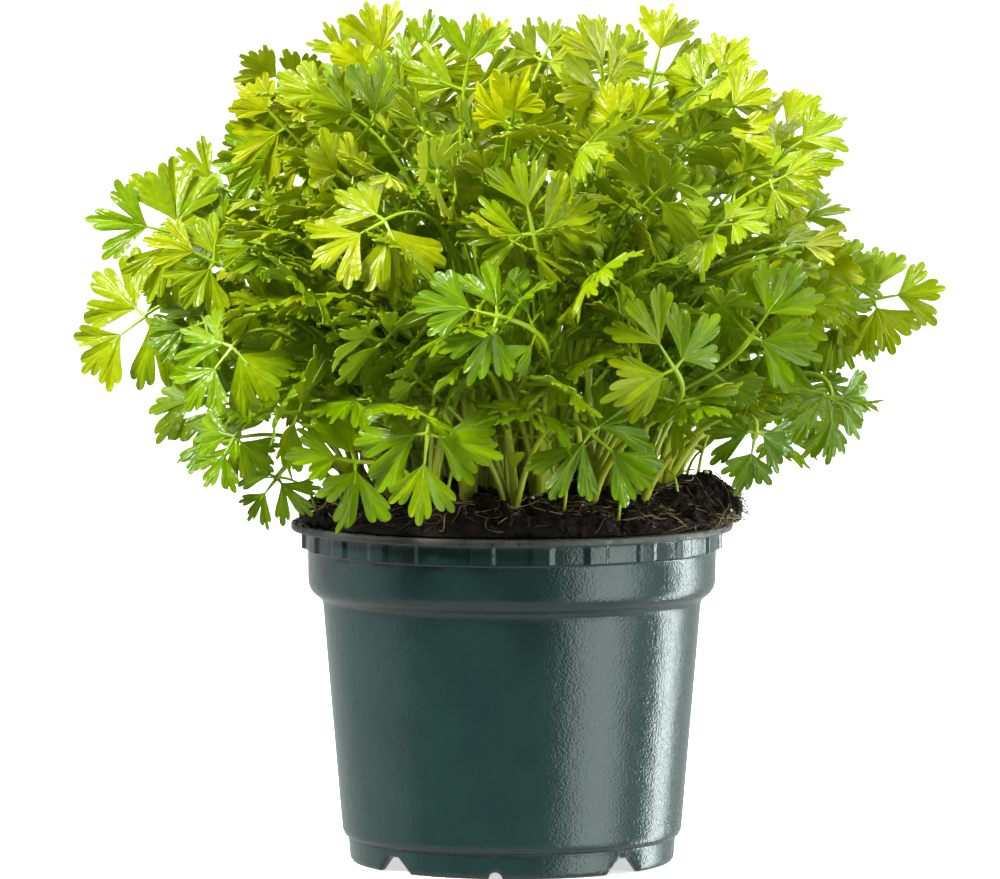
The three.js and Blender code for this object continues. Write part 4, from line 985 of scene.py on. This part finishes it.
def lying_bends(rng, starts, lengths, lift):
    """The four bends of curves that lie along the peat in a random direction, wandering aside and lifted by chance."""
    heading = rng.uniform(-np.pi, np.pi, len(starts))
    ahead = np.stack([np.cos(heading), np.sin(heading)], axis=-1)
    aside = np.stack([-ahead[:, 1], ahead[:, 0]], axis=-1)
    wander = FIBRE_WANDER * rng.uniform(-1, 1, (len(starts), 4))
    flat = (starts[:, None, :2] + lengths[:, None, None] * (np.linspace(-0.5, 0.5, 4)[None, :, None] * ahead[:, None]
                                                           + wander[..., None] * aside[:, None]))
    reach = np.hypot(flat[..., 0], flat[..., 1])
    edge = peat_edge(np.arctan2(flat[..., 1], flat[..., 0]))
    flat = flat * np.minimum(1, 0.99 * edge / np.maximum(reach, 1e-6))[..., None]
    height = peat_height(flat[..., 0], flat[..., 1], edge) + FIBRE_LIFT + lift[:, None] * rng.random((len(starts), 4))
    return np.concatenate([flat, height[..., None]], axis=-1)


def hanging_bends(rng, count):
    """The four bends of roots that come out of the clod's side and droop over the flange."""
    angle = rng.normal(0, HANGING_SWEEP, count)
    start = peat_edge(angle) - HANGING_START[0] - HANGING_START[1] * rng.random(count)
    turn = angle[:, None] + 0.12 * rng.uniform(-1, 1, (count, 4)) * np.arange(4)
    far = start[:, None] + varied(rng, *HANGING_REACH, count=count)[:, None] * HANGING_RUN
    top = peat_height(start * np.cos(angle), start * np.sin(angle), peat_edge(angle))
    top = np.maximum(top - HANGING_DEPTH * rng.random(count), PEAT_UNDER + 1.0)
    z = np.maximum(top[:, None] + HANGING_RISE * varied(rng, 0.4, 1, count=count)[:, None], PEAT_UNDER + 0.3)
    z[:, 3] -= HANGING_DROP * rng.random(count)
    return round_axis(far, turn, z)


# Dead moss fibre and dry root, torn by milling: matt, from dark rust to straw, with flecks about a millimetre apart
# where peat still clings.
FLECK_SIZE, FLECK_DEPTH = 1.1111, 0.2
fibre_stuff, tree = material_tree("peat_fibre")
tone = add_node(tree, "Attribute", attribute_name="tone").outputs["Fac"]
browns = add_node(tree, "ValToRGB", {"Fac": tone},
                  stops=[(0.0, linear("#2a1a0d")), (1.0, linear("#b09c72")), (0.5, linear("#5e3f22"))])
place = add_node(tree, "TexCoord").outputs["Object"]
flecks = add_node(tree, "TexNoise", {"Vector": place, "Scale": 1 / (FLECK_SIZE * MM), "Detail": 3.0})
bump = add_node(tree, "Bump", {"Height": flecks, "Strength": 0.5, "Distance": FLECK_DEPTH * MM})
surface = add_node(tree, "BsdfPrincipled", {"Base Color": browns, "Roughness": 0.7, "Normal": bump})
add_node(tree, "OutputMaterial", {"Surface": surface})

rng = np.random.default_rng(32)
bends = np.concatenate([
    lying_bends(rng, on_peat(rng, FIBRE_COUNT), varied(rng, *FIBRE_LENGTH, count=FIBRE_COUNT),
                FIBRE_RISE * rng.random(FIBRE_COUNT)),
    lying_bends(rng, on_peat(rng, ROOT_COUNT, 0.5), varied(rng, *ROOT_LENGTH, count=ROOT_COUNT),
                ROOT_RISE * rng.random(ROOT_COUNT)),
    hanging_bends(rng, HANGING_COUNT),
])
count = len(bends)
thickness = np.concatenate([varied(rng, *FIBRE_RADIUS, count=FIBRE_COUNT), varied(rng, *ROOT_RADIUS, count=ROOT_COUNT),
                            varied(rng, *HANGING_RADIUS, count=HANGING_COUNT)])
shade = np.concatenate([0.8 * rng.random(FIBRE_COUNT), 0.7 + 0.3 * rng.random(ROOT_COUNT), rng.random(HANGING_COUNT)])
any_side = np.tile([0.13, 0.21, 0.97], (count, 1))  # not along any fibre, so that its rings can be turned square to it
points = tube_points(bends, thickness[:, None] * FIBRE_TAPER, any_side, FIBRE_RINGS, FIBRE_SIDES)
fibres = make_piece("peat_fibres", points.reshape(-1, 3),
                    [(many(part, count, points.shape[1], 0), 0) for part in tube_faces(FIBRE_RINGS, FIBRE_SIDES)],
                    [fibre_stuff], attributes={"tone": np.repeat(shade, points.shape[1])})
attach(fibres, "root")

# ---- Parsley: seed leaves ----
# Late seedlings grow out of the peat between the plants: a thread of a stalk with two narrow smooth seed leaves, as
# they are before the first cut leaf opens, of the same soft tissue as the leaves.
SEEDLING_COUNT = 46
SEEDLING_RING, SEEDLING_LEAN, SEEDLING_OUT = (0.45, 0.93), 0.5, 0.35
SEEDLING_HEIGHT, SEED_LENGTH, SEED_THICK = (5, 15), (7, 8), 0.3
SEED_FOLD, SEED_ARCH = 0.25, 0.35
SEED_STALK_FOOT, SEED_STALK_TIP, SEED_STALK_DEPTH = 0.55, 0.35, 1.0
SEED_COLUMNS, SEED_ROWS = 7, 3
# Half the width of a seed leaf along it, as shares of its length.
SEED_WIDTH = np.array([0.02, 0.09, 0.15, 0.17, 0.14, 0.08, 0.01])


def seed_leaf_points(base, a, s, n, length):
    """Seed leaves: narrow shells, lifted by fold times the way off the middle, less arch times along squared."""
    along = np.linspace(0, 1, SEED_COLUMNS)[:, None] * np.ones(SEED_ROWS)
    side = SEED_WIDTH[:, None] * np.array([-1, 0, 1])
    lift = SEED_FOLD * np.abs(side) - SEED_ARCH * along ** 2
    return shell_points(base, a, s, n, length, along, side, lift, SEED_THICK)


rng = np.random.default_rng(33)
foot = on_peat(rng, SEEDLING_COUNT, *SEEDLING_RING)
lean = rng.uniform(-SEEDLING_LEAN, SEEDLING_LEAN, (SEEDLING_COUNT, 2)) + SEEDLING_OUT * foot[:, :2] / 60
height = varied(rng, *SEEDLING_HEIGHT, count=SEEDLING_COUNT)
tip = foot + height[:, None] * np.concatenate([lean, np.ones((SEEDLING_COUNT, 1))], axis=1)
bends = np.stack([foot - (0, 0, SEED_STALK_DEPTH), foot + (tip - foot) * (0.2, 0.2, 0.5),
                  foot + (tip - foot) * (0.6, 0.6, 0.85), tip], axis=1)
stems = tube_points(bends, np.tile(np.linspace(SEED_STALK_FOOT, SEED_STALK_TIP, NECK_RINGS), (SEEDLING_COUNT, 1)),
                    np.tile([0.9, 0.1, 0.2], (SEEDLING_COUNT, 1)), NECK_RINGS, NECK_SIDES)
turn = rng.uniform(0, np.pi, SEEDLING_COUNT)
spread = np.stack([np.cos(turn), np.sin(turn), 0.45 + 0.5 * rng.random(SEEDLING_COUNT)], axis=-1)
pair = unit(np.concatenate([spread, spread * (-1, -1, 1)]))
across_pair = unit(np.cross([0, 0, 1], pair))
seed_leaves = seed_leaf_points(np.tile(tip, (2, 1)) - 0.4 * pair, pair, across_pair, np.cross(pair, across_pair),
                               varied(rng, *SEED_LENGTH, count=2 * SEEDLING_COUNT))
per_leaf, per_stem = seed_leaves.shape[1], stems.shape[1]
first_stem = 2 * SEEDLING_COUNT * per_leaf
# A seed leaf takes the coordinates of a strip beside one lobe's vein, so it is evenly pale and shows no branches.
leaf_uv = np.stack(np.meshgrid([0.16, 0.1667, 0.173], np.linspace(0.2, 0.7, SEED_COLUMNS)), axis=-1).reshape(-1, 2)
seedling_uv = np.concatenate([np.tile(leaf_uv, (4 * SEEDLING_COUNT, 1)), np.zeros((SEEDLING_COUNT * per_stem, 2))])
seedling_tone = np.concatenate([np.repeat(varied(rng, 0.3, 0.4, count=2 * SEEDLING_COUNT), per_leaf),
                                np.full(SEEDLING_COUNT * per_stem, 0.5)])
is_under = np.concatenate([np.tile(np.repeat([0.0, 1.0], per_leaf // 2), 2 * SEEDLING_COUNT),
                           np.zeros(SEEDLING_COUNT * per_stem)])
seedlings = make_piece(
    "parsley_seedlings", np.concatenate([seed_leaves.reshape(-1, 3), stems.reshape(-1, 3)]),
    [(many(shell_faces(SEED_COLUMNS, SEED_ROWS), 2 * SEEDLING_COUNT, per_leaf, 0), 0)]
    + [(many(part, SEEDLING_COUNT, per_stem, first_stem), 1) for part in tube_faces(NECK_RINGS, NECK_SIDES)],
    [leaf_green, stalk_green], seedling_uv, {"tone": seedling_tone, "under": is_under}, sharp_deg=60)
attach(seedlings, "root")

# ---- Floor and light ----
# A plain white floor in a white room, under a large soft box above and behind the plant and a smaller one at the front
# left. A ring of lit screens, out of the camera's sight, is what the pot's gloss mirrors. Lengths here are in metres.
FLOOR_REACH, FLOOR_DROP = 30.0, 0.00002

# Matt white paint on a flat board, lit a little from within, so that it stays an even white with no gloss.
floor_paint, tree = material_tree("matt_white_floor")
surface = add_node(tree, "BsdfPrincipled", {"Base Color": linear("#f4f4f4"), "Roughness": 0.9,
                                            "Emission Color": linear("#ffffff"), "Emission Strength": 0.6})
add_node(tree, "OutputMaterial", {"Surface": surface})
floor_corners = np.array([[-1, -1, 0], [1, -1, 0], [1, 1, 0], [-1, 1, 0]]) * FLOOR_REACH - (0, 0, FLOOR_DROP)
floor = make_piece("floor", floor_corners / MM, [(np.array([[0, 1, 2, 3]]), 0)], [floor_paint])
floor.visible_glossy = False  # the pot mirrors the room's bands down to its foot, not the floor
floor.visible_diffuse = False

# Each light: where it stands, its width and height, and its power in watts. Both face the middle of the plant.
LIT_POINT = np.array([0, 0, 0.12])
LIGHTS = (
    ("soft_box_back", (0.15, 0.8, 1.85), (1.8, 1.2), 48.0),
    ("soft_box_left", (-1.2, -0.9, 1.6), (0.7, 0.7), 130.0),
)
for name, place, (wide, high), power in LIGHTS:
    lamp = bpy.data.lights.new(name, "AREA")
    lamp.shape = "RECTANGLE"
    lamp.size, lamp.size_y = wide, high
    lamp.energy = power
    holder = bpy.data.objects.new(name, lamp)
    holder.location = place
    x, y, z = LIT_POINT - np.array(place)
    holder.rotation_euler = (math.atan2(math.hypot(x, y), -z), 0, math.atan2(y, x) - math.pi / 2)
    holder.visible_camera = False
    bpy.context.collection.objects.link(holder)

# The screens' brightness at bearings from the front, positive to the right: white paper behind and on the left, black
# cloth in front, a soft panel at the front right, and a narrow bright strip at the back right.
SCREEN_RADIUS, SCREEN_LOW, SCREEN_HIGH, SCREEN_TURNS = 2.8, -1.6, 1.7, 720
SCREEN_BANDS = np.array([(-180, 0.8), (-80, 0.8), (-62, 0.05), (33, 0.05), (44, 6.0), (70, 6.0), (82, 0.4), (108, 0.4),
                         (112.5, 20.0), (119, 20.0), (123, 0.8), (180, 0.8)])
CEILING = 0.58  # how bright the room is overhead, as a share of its walls
bearing = np.arange(SCREEN_TURNS) * 360 / SCREEN_TURNS - 180
around = np.radians(bearing)
columns = np.stack([np.sin(around), -np.cos(around)], axis=-1) * SCREEN_RADIUS
heights = np.tile([[SCREEN_LOW], [SCREEN_HIGH]], (SCREEN_TURNS, 1))
points = np.concatenate([np.repeat(columns, 2, axis=0), heights], axis=1)
# Paper and cloth lit from behind, very slightly cool: they only shine, each bearing as bright as its band.
screen_light, tree = material_tree("lit_screens")
brightness = add_node(tree, "Attribute", attribute_name="brightness").outputs["Fac"]
surface = add_node(tree, "Emission", {"Color": linear("#f4fffd"), "Strength": brightness})
add_node(tree, "OutputMaterial", {"Surface": surface})
screens = make_piece("screens", points / MM, [(turned_faces(SCREEN_TURNS, 2)[:, ::-1], 0)], [screen_light],
                     attributes={"brightness": np.repeat(np.interp(bearing, *SCREEN_BANDS.T), 2)})
screens.visible_camera = False
screens.visible_shadow = False

# The room: white walls all round, and a greyer ceiling over them.
world = bpy.data.worlds.new("studio_room")
world.use_nodes = True
tree = world.node_tree
tree.nodes.clear()
heading = add_node(tree, "SeparateXYZ", {"Vector": add_node(tree, "TexCoord").outputs["Generated"]})
overhead = add_node(tree, "MapRange", {"Value": heading.outputs["Z"], "From Min": 0.4, "From Max": 0.7, "To Min": 1.0,
                                       "To Max": CEILING})
room = add_node(tree, "Background", {"Color": linear("#ffffff"), "Strength": overhead})
add_node(tree, "OutputWorld", {"Surface": room})
bpy.context.scene.world = world
